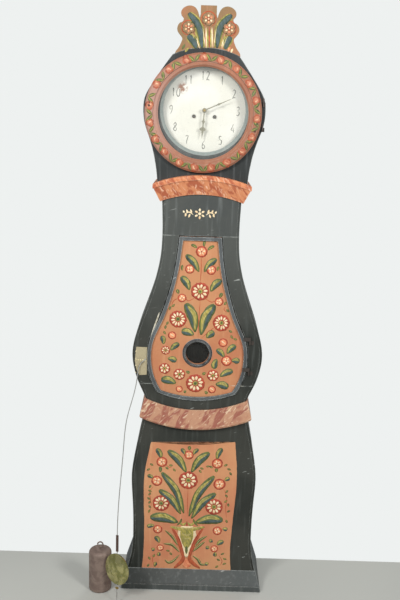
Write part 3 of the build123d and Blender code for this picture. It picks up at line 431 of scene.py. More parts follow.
class Palette:
    """Gathers the strokes painted on one CAD body, one mesh for each colour of paint."""

    def __init__(self, name, body, slot, ground_names, coat=0.0, flat=None):
        self.name = name
        self.body = body
        self.slot = slot
        self.ground = Ground(ground_names)
        self.coat = coat * MM
        self.flat = None if flat is None else self.ground.forward(flat[0] * MM, flat[1] * MM)
        self.pots = {}

    def point(self, pot, x, z, rise):
        corners = self.pots.setdefault(pot, ([], []))[0]
        board = self.ground.forward(x * MM, z * MM) if self.flat is None else self.flat
        corners.append((x * MM, board - rise - (self.coat if rise > 0 else 0.0), z * MM))
        return len(corners) - 1

    def face(self, pot, corners):
        self.pots[pot][1].append(corners)

    def stroke(self, pot, route, width, lift=0.0, rise=0.5, shape=0.7, swell=1.0):
        """A brush stroke in mm with pointed ends; above 1, swell moves its widest part towards the tip."""
        route = smooth(route)
        last = len(route) - 1
        rings = []
        for step, (x, z) in enumerate(route):
            before, after = route[max(step - 1, 0)], route[min(step + 1, last)]
            along = math.atan2(after[1] - before[1], after[0] - before[0])
            across = (-math.sin(along), math.cos(along))
            share = min(max(step / last, 0.02), 0.98)
            fullness = max(math.sin(math.pi * share ** swell) ** shape, 0.06)
            half = width / 2 * fullness * rng.uniform(0.94, 1.06)
            ring = [self.point(pot, x - across[0] * half, z - across[1] * half, -EMBED)]
            ring += [
                self.point(pot, x + across[0] * half * side, z + across[1] * half * side,
                           (lift + rise * height * (0.4 + 0.6 * fullness)) * MM)
                for side, height in SECTION
            ]
            ring.append(self.point(pot, x + across[0] * half, z + across[1] * half, -EMBED))
            rings.append(ring)
        self.skin(pot, rings)
        self.face(pot, rings[0][::-1])
        self.face(pot, rings[-1])

    def dab(self, pot, x, z, radius, lift=0.0, rise=0.5, wobble=0.04):
        """A round spot of paint, domed from its buried rim to a flat middle."""
        sides = max(10, int(radius * 0.9) + 8)
        rings = []
        turn = rng.uniform(0, math.tau)
        for side in range(sides):
            angle = turn + math.tau * side / sides
            reach = radius * (1 + rng.uniform(-wobble, wobble))
            rings.append([
                self.point(pot, x + math.cos(angle) * reach * share, z + math.sin(angle) * reach * share,
                           -EMBED if height is None else (lift + rise * height) * MM)
                for share, height in DAB_SECTION
            ])
        self.skin(pot, rings, round_about=True)
        self.face(pot, [ring[-1] for ring in rings])
        self.face(pot, [ring[0] for ring in rings][::-1])

    def skin(self, pot, rings, round_about=False):
        """Joins closed sections in order, or the open radii of a dab when they go round_about its middle."""
        for near, far in zip(rings, rings[1:] + rings[:1] if round_about else rings[1:]):
            count = len(near)
            for spot in range(count - 1 if round_about else count):
                other = (spot + 1) % count
                self.face(pot, [near[spot], far[spot], far[other], near[other]])

    def build(self, finishes):
        for pot, (corners, faces) in self.pots.items():
            mesh = bpy.data.meshes.new(f"{self.name}_{pot}")
            mesh.from_pydata(corners, [], faces)
            mesh.validate()
            outward(mesh)
            mesh.materials.append(finishes[pot])
            piece = bpy.data.objects.new(f"{self.name}_{pot}", mesh)
            bpy.context.scene.collection.objects.link(piece)
            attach(piece, self.body)


def outward(mesh):
    """Turns every closed stroke's faces outward and shades it smoothly."""
    work = bmesh.new()
    work.from_mesh(mesh)
    bmesh.ops.recalc_face_normals(work, faces=work.faces)
    work.to_mesh(mesh)
    work.free()
    mesh.polygons.foreach_set("use_smooth", [len(face.vertices) == 4 for face in mesh.polygons])


def smooth(route, pieces=9):
    """Even points along the curve that passes through the given (x, z) points."""
    if len(route) == 2:
        (x0, z0), (x1, z1) = route
        return [(x0 + (x1 - x0) * t / pieces, z0 + (z1 - z0) * t / pieces) for t in range(pieces + 1)]
    steps = max(3, pieces // (len(route) - 1) + 2)
    padded = [route[0]] + list(route) + [route[-1]]
    result = []
    for p0, p1, p2, p3 in zip(padded, padded[1:], padded[2:], padded[3:]):
        for step in range(steps):
            t = step / steps
            result.append(tuple(
                0.5 * (2 * b + (c - a) * t + (2 * a - 5 * b + 4 * c - d) * t * t
                       + (3 * b - a - 3 * c + d) * t ** 3)
                for a, b, c, d in zip(p0, p1, p2, p3)))
    return result + [tuple(route[-1])]


def around(x, z, radius, degrees):
    """The point at a distance from (x, z), clockwise from straight up."""
    angle = math.radians(degrees)
    return x + radius * math.sin(angle), z + radius * math.cos(angle)


# ---------------------------------------------------------------- painted motifs

def leaf(palette, base, tip, width):
    """A green leaf: a blue shadow along one side, an olive light along the other, bowed a little."""
    length_x, length_z = tip[0] - base[0], tip[1] - base[1]
    length = math.hypot(length_x, length_z)
    side = 1 if length_x < 0 else -1
    across = (-length_z / length * side, length_x / length * side)

    def at(share, offset):
        return (base[0] + length_x * share + across[0] * offset,
                base[1] + length_z * share + across[1] * offset)

    bow = length * 0.08
    palette.stroke("green", [base, at(0.5, -bow), tip], width * 1.45, rise=0.5, shape=0.5, swell=1.35)
    if width > 9:
        palette.stroke("blue", [at(0.14, width * 0.06), at(0.58, width * 0.30 - bow), at(0.97, width * 0.12)],
                       width * 0.50, lift=0.3, rise=0.4, swell=1.3)
        palette.stroke("olive",
                       [at(0.06, -width * 0.05), at(0.52, -width * 0.30 - bow), at(0.90, -width * 0.18)],
                       width * 0.46, lift=0.3, rise=0.45, swell=1.2)
        palette.stroke("light", [at(0.10, 0), at(0.5, -bow - width * 0.1), at(0.86, -width * 0.06)],
                       width * 0.11, lift=0.6, rise=0.4)
        palette.stroke("light",
                       [at(0.3, -width * 0.32), at(0.6, -width * 0.50 - bow), at(0.88, -width * 0.30)],
                       width * 0.08, lift=0.4, rise=0.4)
    else:
        palette.stroke("olive", [at(0.1, 0), at(0.85, -width * 0.1)], width * 0.34, lift=0.3, rise=0.4)


def daisy(palette, x, z, radius, petals):
    """A red-brown round with cream petals and an olive heart."""
    palette.dab("red", x, z, radius, rise=0.4)
    turn = rng.uniform(0, 360)
    for petal in range(petals):
        angle = turn + 360 * petal / petals + rng.uniform(-3, 3)
        palette.stroke("cream", [around(x, z, radius * 0.34, angle), around(x, z, radius * 0.80, angle)],
                       radius * 2.7 / petals, lift=0.35, rise=0.55, shape=0.5, swell=1.3)
    palette.dab("olive", x, z, radius * 0.27, lift=0.35, rise=0.35)
    palette.dab("green", x, z, radius * 0.14, lift=0.6, rise=0.4)


def rose(palette, x, z, radius, petals=4):
    """A small red-ringed rose with a few round cream petals."""
    palette.dab("red", x, z, radius, rise=0.4)
    palette.dab("orange", x, z, radius * 0.76, lift=0.25, rise=0.3)
    turn = rng.uniform(0, 360)
    for petal in range(petals):
        angle = turn + 360 * petal / petals
        palette.stroke("cream", [around(x, z, radius * 0.12, angle), around(x, z, radius * 0.62, angle)],
                       radius * 1.25 / petals, lift=0.4, rise=0.5, shape=0.45)
    palette.dab("red", x, z, radius * 0.14, lift=0.6, rise=0.4)


def bud(palette, x, z, radius):
    """A rosebud: a red round, an orange body and one cream light."""
    palette.dab("red", x, z, radius, rise=0.4)
    palette.dab("orange", x, z, radius * 0.74, lift=0.25, rise=0.35)
    palette.stroke("cream", [around(x, z, radius * 0.5, -50), around(x, z, radius * 0.1, 10),
                             around(x, z, radius * 0.45, 120)], radius * 0.36, lift=0.45, rise=0.4)


def ring_rose(palette, x, z, radius, angle):
    """A loosely brushed rose: curved red-brown and orange petals round a cream light."""
    palette.dab("rosewood", x, z, radius, rise=0.3, wobble=0.12)
    palette.dab("blush", x, z, radius * 0.70, lift=0.2, rise=0.3, wobble=0.10)
    for turn in (-110, 10, 130):
        petal = [around(x, z, radius * 0.8, angle + turn - 48), around(x, z, radius * 0.94, angle + turn),
                 around(x, z, radius * 0.8, angle + turn + 48)]
        palette.stroke("stem", petal, radius * 0.24, lift=0.3, rise=0.35)
    palette.stroke("pink", [around(x, z, radius * 0.40, angle - 40), around(x, z, radius * 0.16, angle + 60),
                            around(x, z, radius * 0.46, angle + 150)], radius * 0.34, lift=0.45, rise=0.35)


def sprig(palette, x, z, lean):
    """A tiny leaf of a trailing twig."""
    tip = around(x, z, 15, lean)
    palette.stroke("green", [(x, z), tip], 8.5, rise=0.4)
    palette.stroke("olive", [around(x, z, 3, lean), around(x, z, 11, lean)], 2.2, lift=0.25, rise=0.3)


def paint_flowers(palette, daisies, roses, buds):
    for x, z, radius, petals in daisies:
        daisy(palette, x, z, radius, petals)
    for x, z, radius in roses:
        rose(palette, x, z, radius, rng.choice((4, 5)))
    for x, z, radius in buds:
        bud(palette, x, z, radius)


# Places are mm across and up from the clock's foot.

def paint_door():
    """Flowers and leaves that climb from round the lens to the top of the trunk door."""
    door = Palette("door", "waist_door", "door_paint", ["waist_door_board"])
    for base, tip, width in (
        ((-3, 1244), (-51, 1304), 19), ((16, 1244), (59, 1293), 17), ((-35, 1176), (-66, 1225), 20),
        ((41, 1173), (79, 1217), 19), ((-12, 1330), (-33, 1341), 8), ((26, 1323), (49, 1339), 8),
        ((13, 1335), (16, 1357), 7), ((-63, 1246), (-62, 1267), 6), ((64, 1249), (67, 1265), 6),
        ((-10, 1020), (-47, 1126), 27), ((11, 1010), (57, 1125), 27), ((-15, 1009), (-60, 1022), 21),
        ((32, 999), (60, 1022), 19), ((-125, 971), (-132, 1002), 14), ((-98, 948), (-67, 975), 15),
        ((-108, 917), (-76, 907), 16), ((-76, 822), (-131, 835), 22), ((109, 942), (140, 974), 17),
        ((99, 927), (70, 957), 15), ((126, 915), (156, 912), 16), ((72, 920), (64, 882), 17),
        ((86, 853), (133, 876), 18), ((71, 823), (118, 811), 21), ((-40, 869), (-27, 862), 8),
        ((33, 866), (22, 858), 8), ((-47, 791), (-38, 787), 8), ((31, 793), (41, 784), 8),
        ((76, 1151), (84, 1168), 9), ((-75, 1161), (-81, 1177), 9),
    ):
        leaf(door, base, tip, width)
    for route in (
        [(5, 1140), (2, 1070), (1, 1000)], [(-10, 1205), (0, 1190), (16, 1205)],
        [(4, 1300), (5, 1250), (3, 1204)],
        [(-12, 1150), (-38, 1136), (-50, 1150)], [(18, 1150), (44, 1134), (62, 1140)],
        [(-98, 1118), (-90, 1136), (-74, 1144)], [(96, 1118), (92, 1108), (104, 1096)],
        [(-14, 1000), (-34, 1026), (-48, 1044)], [(14, 998), (40, 1024), (60, 1040)],
    ):
        door.stroke("stem", route, 3.0, rise=0.35)
    for x, z, lean in (
        (-106, 1100, 20), (-98, 1112, 50), (-120, 1028, 10), (-116, 1044, 30), (100, 1108, 130),
        (112, 1030, 120), (120, 1012, 150), (130, 1000, 110), (-118, 1008, -30), (92, 1124, 30),
    ):
        sprig(door, x, z, lean)
    paint_flowers(
        door,
        daisies=((4, 1172, 33, 10), (-74, 1067, 32, 12), (84, 1057, 31, 12), (-117, 948, 17, 8),
                 (-119, 878, 21, 7), (-64, 857, 22, 7), (60, 856, 22, 7), (-4, 824, 35, 10)),
        roses=((5, 1317, 21), (-36, 1253, 17), (41, 1252, 18), (-61, 1146, 16), (73, 1136, 16),
               (108, 914, 20)),
        buds=((-94, 1005, 15), (93, 983, 17), (-63, 800, 13), (58, 802, 15)),
    )
    return door


def paint_base():
    """The vase of flowers on the orange panel of the base."""
    base = Palette("base", "case", "base_front_paint", ["base_front"], coat=0.25)
    base_panel(base)
    for start, tip, width in (
        ((-29, 468), (-100, 555), 23), ((-9, 469), (57, 551), 23), ((-34, 298), (-122, 465), 21),
        ((-14, 286), (78, 456), 21), ((-46, 295), (-130, 393), 22), ((-4, 277), (86, 385), 22),
        ((-55, 259), (-163, 278), 29), ((11, 261), (117, 274), 28), ((-36, 540), (-50, 564), 11),
        ((-4, 541), (15, 564), 11), ((-20, 558), (-21, 575), 9), ((-125, 522), (-143, 561), 15),
        ((86, 524), (104, 570), 15), ((-153, 440), (-176, 451), 11), ((119, 438), (137, 449), 12),
        ((-128, 465), (-129, 488), 9), ((86, 472), (87, 487), 9), ((-146, 243), (-174, 237), 12),
        ((117, 236), (136, 234), 12), ((-126, 171), (-143, 197), 14), ((98, 168), (123, 185), 14),
        ((70, 178), (79, 189), 12), ((-142, 142), (-155, 139), 11), ((68, 152), (54, 157), 11),
        ((90, 137), (90, 119), 11), ((-123, 130), (-127, 114), 11), ((-136, 88), (-140, 72), 10),
        ((53, 89), (65, 81), 12),
    ):
        leaf(base, start, tip, width)
    vase(base)
    for route in (
        [(-105, 224), (-77, 199), (-55, 163)], [(-109, 167), (-76, 163), (-47, 133)],
        [(-103, 99), (-89, 87), (-70, 95), (-47, 122)], [(59, 206), (32, 187), (9, 155)],
        [(51, 182), (28, 161), (5, 137)], [(63, 84), (39, 83), (25, 104), (5, 119)],
    ):
        base.stroke("green", route, 11, rise=0.45)
        base.stroke("light", [(x + 1, z + 2) for x, z in route], 3.0, lift=0.3, rise=0.3)
    for x, z, lean in (
        (-169, 399, 30), (-159, 384, -60), (-171, 369, 40), (-164, 351, -50), (-170, 334, 30),
        (-160, 316, -40), (-170, 296, 20), (-108, 488, 130), (-95, 496, 100), (-79, 482, 140),
        (-166, 479, -120), (-154, 492, -60),
        (37, 483, -70), (29, 468, -40), (60, 496, -100), (71, 489, -60), (114, 498, 60), (126, 488, 110),
        (136, 474, 150), (123, 388, 40), (131, 369, -30), (120, 348, 50), (137, 331, -10), (131, 308, 60),
        (129, 277, 160), (-99, 139, 100), (-85, 131, 140), (-160, 97, -30), (-150, 108, 30), (-145, 80, 160),
        (-164, 79, -150), (114, 127, 60), (123, 112, 110), (112, 101, -60), (122, 86, 70), (106, 80, -130),
    ):
        sprig(base, x, z, lean)
    for route in ([(-20, 400), (-21, 340), (-20, 285)], [(-150, 410), (-166, 380), (-160, 330), (-168, 290)],
                  [(112, 410), (128, 370), (126, 320), (132, 280)], [(-110, 500), (-96, 488), (-84, 486)],
                  [(-140, 125), (-152, 100), (-146, 78)], [(104, 128), (120, 100), (112, 80)]):
        base.stroke("stem", route, 2.6, rise=0.35)
    paint_flowers(
        base,
        daisies=((-20, 436, 36, 10), (-122, 338, 33, 10), (81, 329, 34, 10)),
        roses=((-20, 539, 18), (-122, 508, 21), (88, 508, 21), (-140, 430, 21), (99, 423, 23),
               (-133, 228, 18), (97, 229, 18), (-122, 150, 14), (88, 152, 15)),
        buds=(),
    )
    return base


def base_panel(base):
    """The orange panel under the vase: a thin sheet of paint with the base's bellied outline."""
    plinth_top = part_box("plinth_front")[1].z / MM
    outline = smooth([(-164, 587), (-85, 582), (-7, 580), (75, 586), (152, 597)], 8)
    right = [(152, 597), (158, 539), (163, 475), (163, 390), (156, 288), (149, 160), (154, plinth_top)]
    left = [(-192, plinth_top), (-186, 149), (-186, 277), (-189, 378), (-186, 468), (-164, 587)]
    outline += smooth(right, 24) + smooth(left, 24)
    front = [base.point("panel", x + rng.uniform(-0.7, 0.7), z, 0.02 * MM) for x, z in outline]
    back = [base.point("panel", x, z, -EMBED) for x, z in outline]
    base.face("panel", front)
    base.face("panel", back[::-1])
    for near, far, near_back, far_back in zip(front, front[1:] + front[:1], back, back[1:] + back[:1]):
        base.face("panel", [near, near_back, far_back, far])


def vase(base):
    """A footed vase in cream and olive with curved red-brown handles down each side."""
    base.stroke("cream", [(-20, 244), (-20, 180), (-20, 112)], 74, rise=0.4, shape=0.6, swell=0.55)
    base.stroke("olive", [(-20, 232), (-20, 196), (-20, 150)], 52, lift=0.3, rise=0.4, shape=0.6, swell=0.6)
    base.stroke("light", [(-40, 214), (-20, 206), (0, 214)], 6, lift=0.6, rise=0.3)
    base.stroke("light", [(-34, 196), (-20, 190), (-6, 196)], 5, lift=0.6, rise=0.3)
    base.stroke("olive", [(-84, 240), (-20, 230), (48, 243)], 17, lift=0.2, rise=0.6, shape=0.5)
    base.stroke("light", [(-74, 242), (-20, 233), (38, 245)], 4, lift=0.7, rise=0.3)
    base.stroke("stem", [(-78, 234), (-54, 190), (-36, 132), (-31, 106)], 14, lift=0.4, rise=0.7, shape=0.5)
    base.stroke("stem", [(42, 238), (16, 190), (-4, 132), (-9, 106)], 14, lift=0.4, rise=0.7, shape=0.5)
    base.stroke("stem", [(-31, 124), (-36, 96), (-66, 64)], 16, lift=0.4, rise=0.6, shape=0.5)
    base.stroke("stem", [(-9, 124), (-2, 96), (34, 66)], 16, lift=0.4, rise=0.6, shape=0.5)
    base.stroke("orange", [(-20, 104), (-18, 84), (-16, 66)], 34, rise=0.4, swell=1.4)
    base.stroke("red", [(-72, 232), (-48, 188), (-30, 128)], 4.5, lift=0.9, rise=0.4)
    base.stroke("red", [(38, 236), (12, 188), (-9, 128)], 4.5, lift=0.9, rise=0.4)
    base.stroke("green", [(-20, 162), (-20, 126)], 11, lift=0.5, rise=0.5)
    base.stroke("olive", [(-52, 262), (-36, 250), (-22, 262)], 9, lift=0.4, rise=0.5)
    base.stroke("olive", [(-22, 262), (-6, 250), (10, 264)], 9, lift=0.4, rise=0.5)
    base.stroke("red", [(-21, 266), (-21, 244)], 6, lift=0.5, rise=0.5)
    base.stroke("green", [(-60, 246), (-46, 262), (-42, 276)], 8, lift=0.4, rise=0.5)
    base.stroke("green", [(22, 246), (8, 262), (4, 276)], 8, lift=0.4, rise=0.5)


def paint_ring():
    """Roses and leaves round the door ring of the hood."""
    ring = Palette("ring", "hood_door", "ring_paint", ["hood_door_ring"])
    low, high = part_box("hood_door_ring")
    centre_x, centre_z = (low.x + high.x) / 2 / MM, (low.z + high.z) / 2 / MM
    outer = (high.x - low.x) / 2 / MM
    garland = outer * 0.92
    angles = (-1, 17, 36, 56, 75, 94, 114, 132, 152, 170, -172, -155, -135, -119, -101, -83, -60, -40, -19)
    for spot, angle in enumerate(angles):
        x, z = around(centre_x, centre_z, garland, angle)
        ring_rose(ring, x, z, rng.uniform(13.0, 15.5), angle)
        sway = 1 if spot % 2 else -1
        for offset, reach, width in ((5.5, 12.0, 12.5), (11.5, -11.0, 11.5)):
            start = around(centre_x, centre_z, garland - reach * sway, angle + offset - 3.2)
            end = around(centre_x, centre_z, garland + reach * sway, angle + offset + 2.4)
            ring.stroke("green", [start, end], width, rise=0.45)
            ring.stroke("olive", [start, end], width * 0.20, lift=0.3, rise=0.35)
    # Small dark dabs on each side of the ring; the pair on the right stands in for the hole of the knob and
    # is painted shade.
    for angle, radius in ((-83, 4.0), (-80, 2.6), (107, 3.6), (99, 2.6)):
        x, z = around(centre_x, centre_z, garland * 1.01, angle)
        ring.dab("dark", x, z, radius, lift=0.6, rise=0.3)
    return ring


def paint_crown():
    """Blue-hollowed leaves, cream flutes and small flowers on the carved crown."""
    crown = Palette("crown", "hood", "crown_paint", ["crown_board"], flat=(10, 2040))
    for base, middle, tip, width in (
        ((-14, 2012), (-26, 2078), (-62, 2124), 25), ((36, 2014), (44, 2078), (82, 2122), 25),
        ((-33, 2010), (-44, 2034), (-64, 2052), 24), ((64, 2011), (70, 2034), (82, 2052), 24),
    ):
        lean = 1 if tip[0] < base[0] else -1
        crown.stroke("olive", [base, middle, tip], width * 1.30, rise=0.4, shape=0.4, swell=1.3)
        crown.stroke("light", [base, middle, tip], width * 1.08, lift=0.15, rise=0.4, shape=0.4, swell=1.3)
        crown.stroke("green", [base, middle, tip], width * 0.96, lift=0.3, rise=0.4, shape=0.4, swell=1.3)
        crown.stroke("blue", [base, middle, tip], width * 0.74, lift=0.5, rise=0.4, shape=0.4, swell=1.3)
        inner = [(x + lean * width * 0.48, z) for x, z in (base, middle)]
        crown.stroke("cream", inner, 2.6, lift=0.6, rise=0.4)
    for base, tip, pot, width in (
        ((1, 2012), (-3, 2080), "cream", 6), ((20, 2013), (17, 2080), "cream", 6),
        ((10, 2012), (8, 2084), "red", 4), ((-6, 2012), (-12, 2062), "olive", 8),
        ((28, 2013), (28, 2062), "olive", 8), ((-2, 2012), (-7, 2070), "red", 2.4),
        ((-24, 2014), (-36, 2058), "cream", 4), ((50, 2014), (60, 2058), "cream", 4),
        ((-12, 2012), (-22, 2090), "light", 6), ((34, 2014), (38, 2090), "light", 6),
        ((-19, 2013), (-40, 2066), "olive", 6), ((45, 2014), (64, 2064), "olive", 6),
        ((5, 2012), (2, 2076), "olive", 7), ((15, 2012), (14, 2076), "olive", 7),
        ((-30, 2016), (-50, 2060), "light", 5), ((56, 2016), (72, 2058), "light", 5),
    ):
        crown.stroke(pot, [base, tip], width, lift=0.2, rise=0.5)
    rims = ((5, 2106, 25, -150, 150), (-61, 2077, 24, -200, 100), (75, 2077, 24, -90, 210))
    for x, z, radius, first, last in rims:
        arc = [around(x, z, radius, first + (last - first) * step / 6) for step in range(7)]
        crown.stroke("stem", arc, 4.0, rise=0.4, shape=0.3)
    for base, tip, pot in (((-82, 2006), (-72, 2024), "green"), ((-72, 1998), (-60, 2012), "olive"),
                           ((74, 2004), (80, 2020), "orange"), ((84, 2000), (89, 2014), "cream")):
        crown.stroke(pot, [base, tip], 8, rise=0.4)
    return crown


def paint_crown_flowers():
    """Cream and orange petals on the three carved bosses of the crown."""
    bosses = Palette("bosses", "hood", "crown_paint", ["crown_board"])
    for x, z in ((5, 2106), (-61, 2077), (75, 2077)):
        for petal in range(6):
            start, end = around(x, z, 6, petal * 60), around(x, z, 14.5, petal * 60)
            bosses.stroke("orange" if petal % 2 else "cream", [start, end], 6.5, rise=0.5)
        bosses.dab("red", x, z, 5.4, rise=0.4)
        bosses.dab("cream", x, z, 2.8, lift=0.3, rise=0.4)
    return bosses


def paint_neck():
    """Plain cream scrolls across the neck, wear on the stile's edge and the joint line below it."""
    neck = Palette("neck", "case", "neck_paint", ["trunk_top_rail", "trunk_left_stile", "trunk_right_stile"])
    middle, reach, level = -6, 54, 1452
    neck.dab("cream", middle, level, 5.5, rise=0.5)
    for petal in range(6):
        neck.stroke("cream", [around(middle, level, 8, petal * 60), around(middle, level, 19, petal * 60)],
                    7.5, rise=0.5, shape=0.5)
    for side in (-1, 1):
        neck.stroke("cream", [(middle + side * 22, level - 4), (middle + side * 38, level + 5),
                              (middle + side * reach, level - 3)], 4.0, rise=0.4)
        for along, rise_by in ((28, 13), (34, -13), (42, 12), (47, -10), (54, 8)):
            start = (middle + side * along, level + (2 if rise_by > 0 else -1))
            neck.stroke("cream", [start, (start[0] + side * 5, start[1] + rise_by)], 6.5, rise=0.5)
    neck.stroke("worn", [(-142, 1090), (-154, 1050), (-173, 994)], 6.0, rise=0.15)
    neck.stroke("worn", [(122, 819), (150, 818), (176, 818)], 1.6, rise=0.15)
    return neck


def winding_squares():
    """Dark steel squares that a key turns, seen through the two holes of the dial."""
    finish = SLOT_FINISH["hinge_iron"]
    for name, body in (("going_drum", "going_barrel"), ("strike_drum", "strike_barrel")):
        low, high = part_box(name)
        middle = (low + high) / 2
        half, deep, skirt = 5.2 * MM, 5.0 * MM, 4.2 * MM
        rings = []
        for y, size in ((low.y + deep, half), (low.y + 0.2 * MM, half), (low.y - 0.6 * MM, skirt),
                        (low.y - 0.6 * MM, skirt * 0.5)):
            rings.append([(middle.x + size * math.cos(math.radians(turn)), y,
                           middle.z + size * math.sin(math.radians(turn))) for turn in range(45, 405, 30)])
        corners = [corner for ring in rings for corner in ring]
        count = len(rings[0])
        faces = [[level * count + spot, level * count + (spot + 1) % count,
                  (level + 1) * count + (spot + 1) % count, (level + 1) * count + spot]
                 for level in range(len(rings) - 1) for spot in range(count)]
        faces += [list(range(count)), list(range(len(corners) - count, len(corners)))[::-1]]
        mesh = bpy.data.meshes.new(f"{name}_square")
        mesh.from_pydata(corners, [], faces)
        outward(mesh)
        mesh.materials.append(finish)
        piece = bpy.data.objects.new(f"{name}_square", mesh)
        bpy.context.scene.collection.objects.link(piece)
        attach(piece, body)


def stud_patch():
    """Small bright nail heads that hold the metal patch on the stile; their near-white brass is partly
    painted glint.
    """
    patch = Palette("patch", "case", "patch_metal", ["stile_patch"])
    low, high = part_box("stile_patch")
    left, right = low.x / MM + 5, high.x / MM - 8
    middle = (low.z + high.z) / 2 / MM + 3
    for nail in range(5):
        patch.dab("nail", left + (right - left) * nail / 4, middle + rng.uniform(-1.2, 1.2), 2.6, rise=1.0)
    for nail in range(4):
        patch.dab("nail", left - 1, low.z / MM + 10 + 27 * nail, 2.2, rise=1.0)
    return patch


DIGITS = {
    "0": [[(0.5, 1), (0.12, 0.72), (0.12, 0.28), (0.5, 0), (0.88, 0.28), (0.88, 0.72), (0.5, 1)]],
    "1": [[(0.3, 0.84), (0.55, 1), (0.52, 0.5), (0.55, 0)]],
    "2": [[(0.1, 0.78), (0.45, 1), (0.84, 0.76), (0.5, 0.34), (0.06, 0.0)],
          [(0.06, 0.0), (0.5, 0.08), (0.92, 0.02)]],
    "3": [[(0.1, 0.9), (0.6, 1), (0.8, 0.76), (0.4, 0.55)],
          [(0.4, 0.55), (0.86, 0.3), (0.5, 0.0), (0.08, 0.12)]],
    "4": [[(0.62, 1), (0.3, 0.6), (0.06, 0.3), (0.92, 0.3)], [(0.68, 0.62), (0.66, 0.3), (0.66, 0)]],
    "5": [[(0.82, 1), (0.28, 0.98), (0.2, 0.58)], [(0.2, 0.58), (0.8, 0.5), (0.7, 0.06), (0.08, 0.08)]],
    "6": [[(0.76, 1), (0.24, 0.62), (0.14, 0.2), (0.5, 0), (0.84, 0.24), (0.5, 0.5), (0.18, 0.3)]],
    "7": [[(0.08, 0.9), (0.45, 0.98), (0.9, 0.96)], [(0.9, 0.96), (0.52, 0.5), (0.36, 0)]],
    "8": [[(0.5, 0.54), (0.18, 0.78), (0.5, 1), (0.82, 0.78), (0.5, 0.54), (0.1, 0.26), (0.5, 0), (0.9, 0.26),
           (0.5, 0.54)]],
    "9": [[(0.82, 0.7), (0.5, 0.5), (0.16, 0.76), (0.5, 1), (0.86, 0.8), (0.76, 0.36), (0.3, 0)]],
}


def paint_numerals():
    """The hours in thin grey figures, upright all round the dial."""
    dial = Palette("dial", "case", "dial_paint", ["dial"])
    low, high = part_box("dial")
    centre_x, centre_z = (low.x + high.x) / 2 / MM, (low.z + high.z) / 2 / MM
    radius = (high.x - low.x) / 2 / MM
    tall, wide, apart = 29.0, 13.0, 17.0
    for hour in range(1, 13):
        x, z = around(centre_x, centre_z, radius * 0.765, hour * 30)
        figures = str(hour)
        left = x - (wide + apart * (len(figures) - 1)) / 2
        for place, figure in enumerate(figures):
            for route in DIGITS[figure]:
                placed = [(left + apart * place + px * wide, z + (pz - 0.5) * tall * rng.uniform(0.94, 1.06))
                          for px, pz in route]
                dial.stroke("numeral", placed, 3.0, rise=0.12, shape=0.5)
    return dial


def brush_finishes():
    return {
        "cream": brush_paint("paint_cream", CREAM, srgb(214, 168, 124), srgb(242, 226, 192)),
        "red": brush_paint("paint_red", FLOWER_RED, srgb(138, 50, 38), srgb(186, 82, 58)),
        "orange": brush_paint("paint_orange", ROSE_ORANGE, srgb(208, 104, 70), srgb(236, 162, 118)),
        "green": brush_paint("paint_green", LEAF_GREEN, srgb(52, 72, 50), srgb(104, 112, 56)),
        "olive": brush_paint("paint_olive", LEAF_OLIVE, srgb(106, 112, 52), srgb(186, 170, 86)),
        "blue": brush_paint("paint_blue", LEAF_BLUE, srgb(44, 60, 60), srgb(82, 98, 100)),
        "stem": brush_paint("paint_stem", STEM_BROWN, srgb(168, 80, 46), srgb(188, 96, 58)),
        "dark": brush_paint("paint_dark", srgb(64, 42, 34), srgb(46, 32, 28), srgb(84, 58, 46)),
        "worn": brush_paint("paint_worn", srgb(214, 206, 184), srgb(150, 142, 122), srgb(234, 230, 214)),
        "numeral": brush_paint("paint_numeral", srgb(108, 110, 102), srgb(214, 213, 202), srgb(84, 86, 78)),
        "light": brush_paint("paint_light", srgb(172, 158, 98), srgb(146, 136, 80), srgb(190, 176, 124)),
        # Near-white brass: partly the colour of brass, partly painted glint of the shining heads.
        "nail": metal("nail_brass_glint", srgb(250, 240, 200), srgb(206, 190, 136), srgb(150, 132, 90), 0.3, 0.4),
        "rosewood": brush_paint("paint_rosewood", srgb(152, 78, 58), srgb(166, 94, 70), srgb(174, 104, 80)),
        "blush": brush_paint("paint_blush", srgb(180, 106, 80), srgb(164, 90, 66), srgb(196, 128, 98)),
        "pink": brush_paint("paint_pink", srgb(212, 160, 124), srgb(194, 130, 98), srgb(222, 182, 150)),
        "panel": painted_wood(
            "panel_paint", srgb(206, 148, 106), srgb(196, 126, 92), srgb(218, 164, 122), wear=0.2),
    }


# ---------------------------------------------------------------- stage, lights and camera

def floor():
    """A plain pale floor that ends just behind the clock, where the room's wall would stand."""
    back = cad_box[1].y + 2 * MM
    level = -0.5 * MM
    across, ahead = 4.0, 5.0
    mesh = bpy.data.meshes.new("stage_floor")
    mesh.from_pydata([(-across, -ahead, level), (across, -ahead, level), (across, back, level),
                      (-across, back, level)], [], [(0, 1, 2, 3)])
    mesh.materials.append(stage_surface("floor_paint", srgb(190, 191, 185), srgb(184, 185, 180), 0.6))
    sheet = bpy.data.objects.new("stage_floor", mesh)
    bpy.context.scene.collection.objects.link(sheet)


def soft_light(name, place, target, size, power):
    """A square area lamp, size in metres and power in watts, aimed at a target."""
    lamp = bpy.data.lights.new(name, "AREA")
    lamp.shape = "SQUARE"
    lamp.size = size
    lamp.energy = power
    lamp.color = (1.0, 0.99, 0.97)
    holder = bpy.data.objects.new(name, lamp)
    holder.location = place
    holder.rotation_euler = (Vector(target) - Vector(place)).to_track_quat("-Z", "Y").to_euler()
    bpy.context.scene.collection.objects.link(holder)


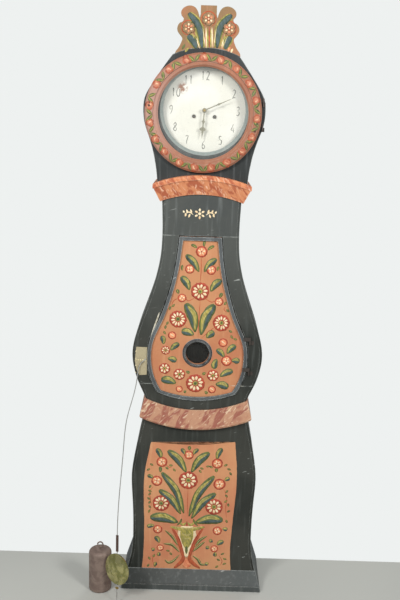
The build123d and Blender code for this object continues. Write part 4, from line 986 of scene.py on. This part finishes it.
def lights():
    """Two lamps from the front, a weak one from above and one behind, in a dim pale room."""
    soft_light("lamp_left", (-1.8, -2.6, 2.8), (0.0, 0.0, 1.3), 0.8, 66)
    soft_light("lamp_right", (1.9, -2.6, 2.6), (0.0, 0.0, 1.2), 0.8, 62)
    soft_light("lamp_high", (-0.8, -2.6, 3.6), (-0.5, 0.0, 2.2), 1.4, 20)
    soft_light("lamp_behind", (0.8, 2.8, 4.4), (0.0, 0.0, 1.1), 1.4, 34)
    world = bpy.data.worlds.new("studio")
    world.use_nodes = True
    tree = world.node_tree
    sky = tree.nodes["Background"]
    sky.inputs["Color"].default_value = srgb(236, 240, 242)
    sky.inputs["Strength"].default_value = 0.36
    seen = tree.nodes.new("ShaderNodeBackground")
    seen.inputs["Color"].default_value = srgb(238, 241, 240)
    ray = tree.nodes.new("ShaderNodeLightPath")
    choice = tree.nodes.new("ShaderNodeMixShader")
    tree.links.new(ray.outputs["Is Camera Ray"], choice.inputs["Fac"])
    tree.links.new(sky.outputs["Background"], choice.inputs[1])
    tree.links.new(seen.outputs["Background"], choice.inputs[2])
    tree.links.new(choice.outputs["Shader"], tree.nodes["World Output"].inputs["Surface"])
    bpy.context.scene.world = world
    bpy.context.scene.view_settings.view_transform = "Standard"


def camera():
    """Eye height in front of the hood, looking down a little and leaning slightly."""
    lens = bpy.data.cameras.new("camera")
    lens.lens = 48.8
    lens.sensor_width = 36.0
    holder = bpy.data.objects.new("camera", lens)
    tilt = Matrix.Rotation(math.radians(90.0 - 12.8), 4, "X")
    lean = Matrix.Rotation(math.radians(1.7), 4, "Z")
    holder.matrix_world = Matrix.Translation((0.004, -2.9667, 1.7917)) @ tilt @ lean
    bpy.context.scene.collection.objects.link(holder)
    bpy.context.scene.camera = holder


# ---------------------------------------------------------------- putting it together

camera()
dress_frame()
FINISHES = brush_finishes()
for palette in (paint_door(), paint_base(), paint_ring(), paint_crown(), paint_crown_flowers(), paint_neck(),
                stud_patch(), paint_numerals()):
    palette.build(FINISHES)
winding_squares()
floor()
lights()
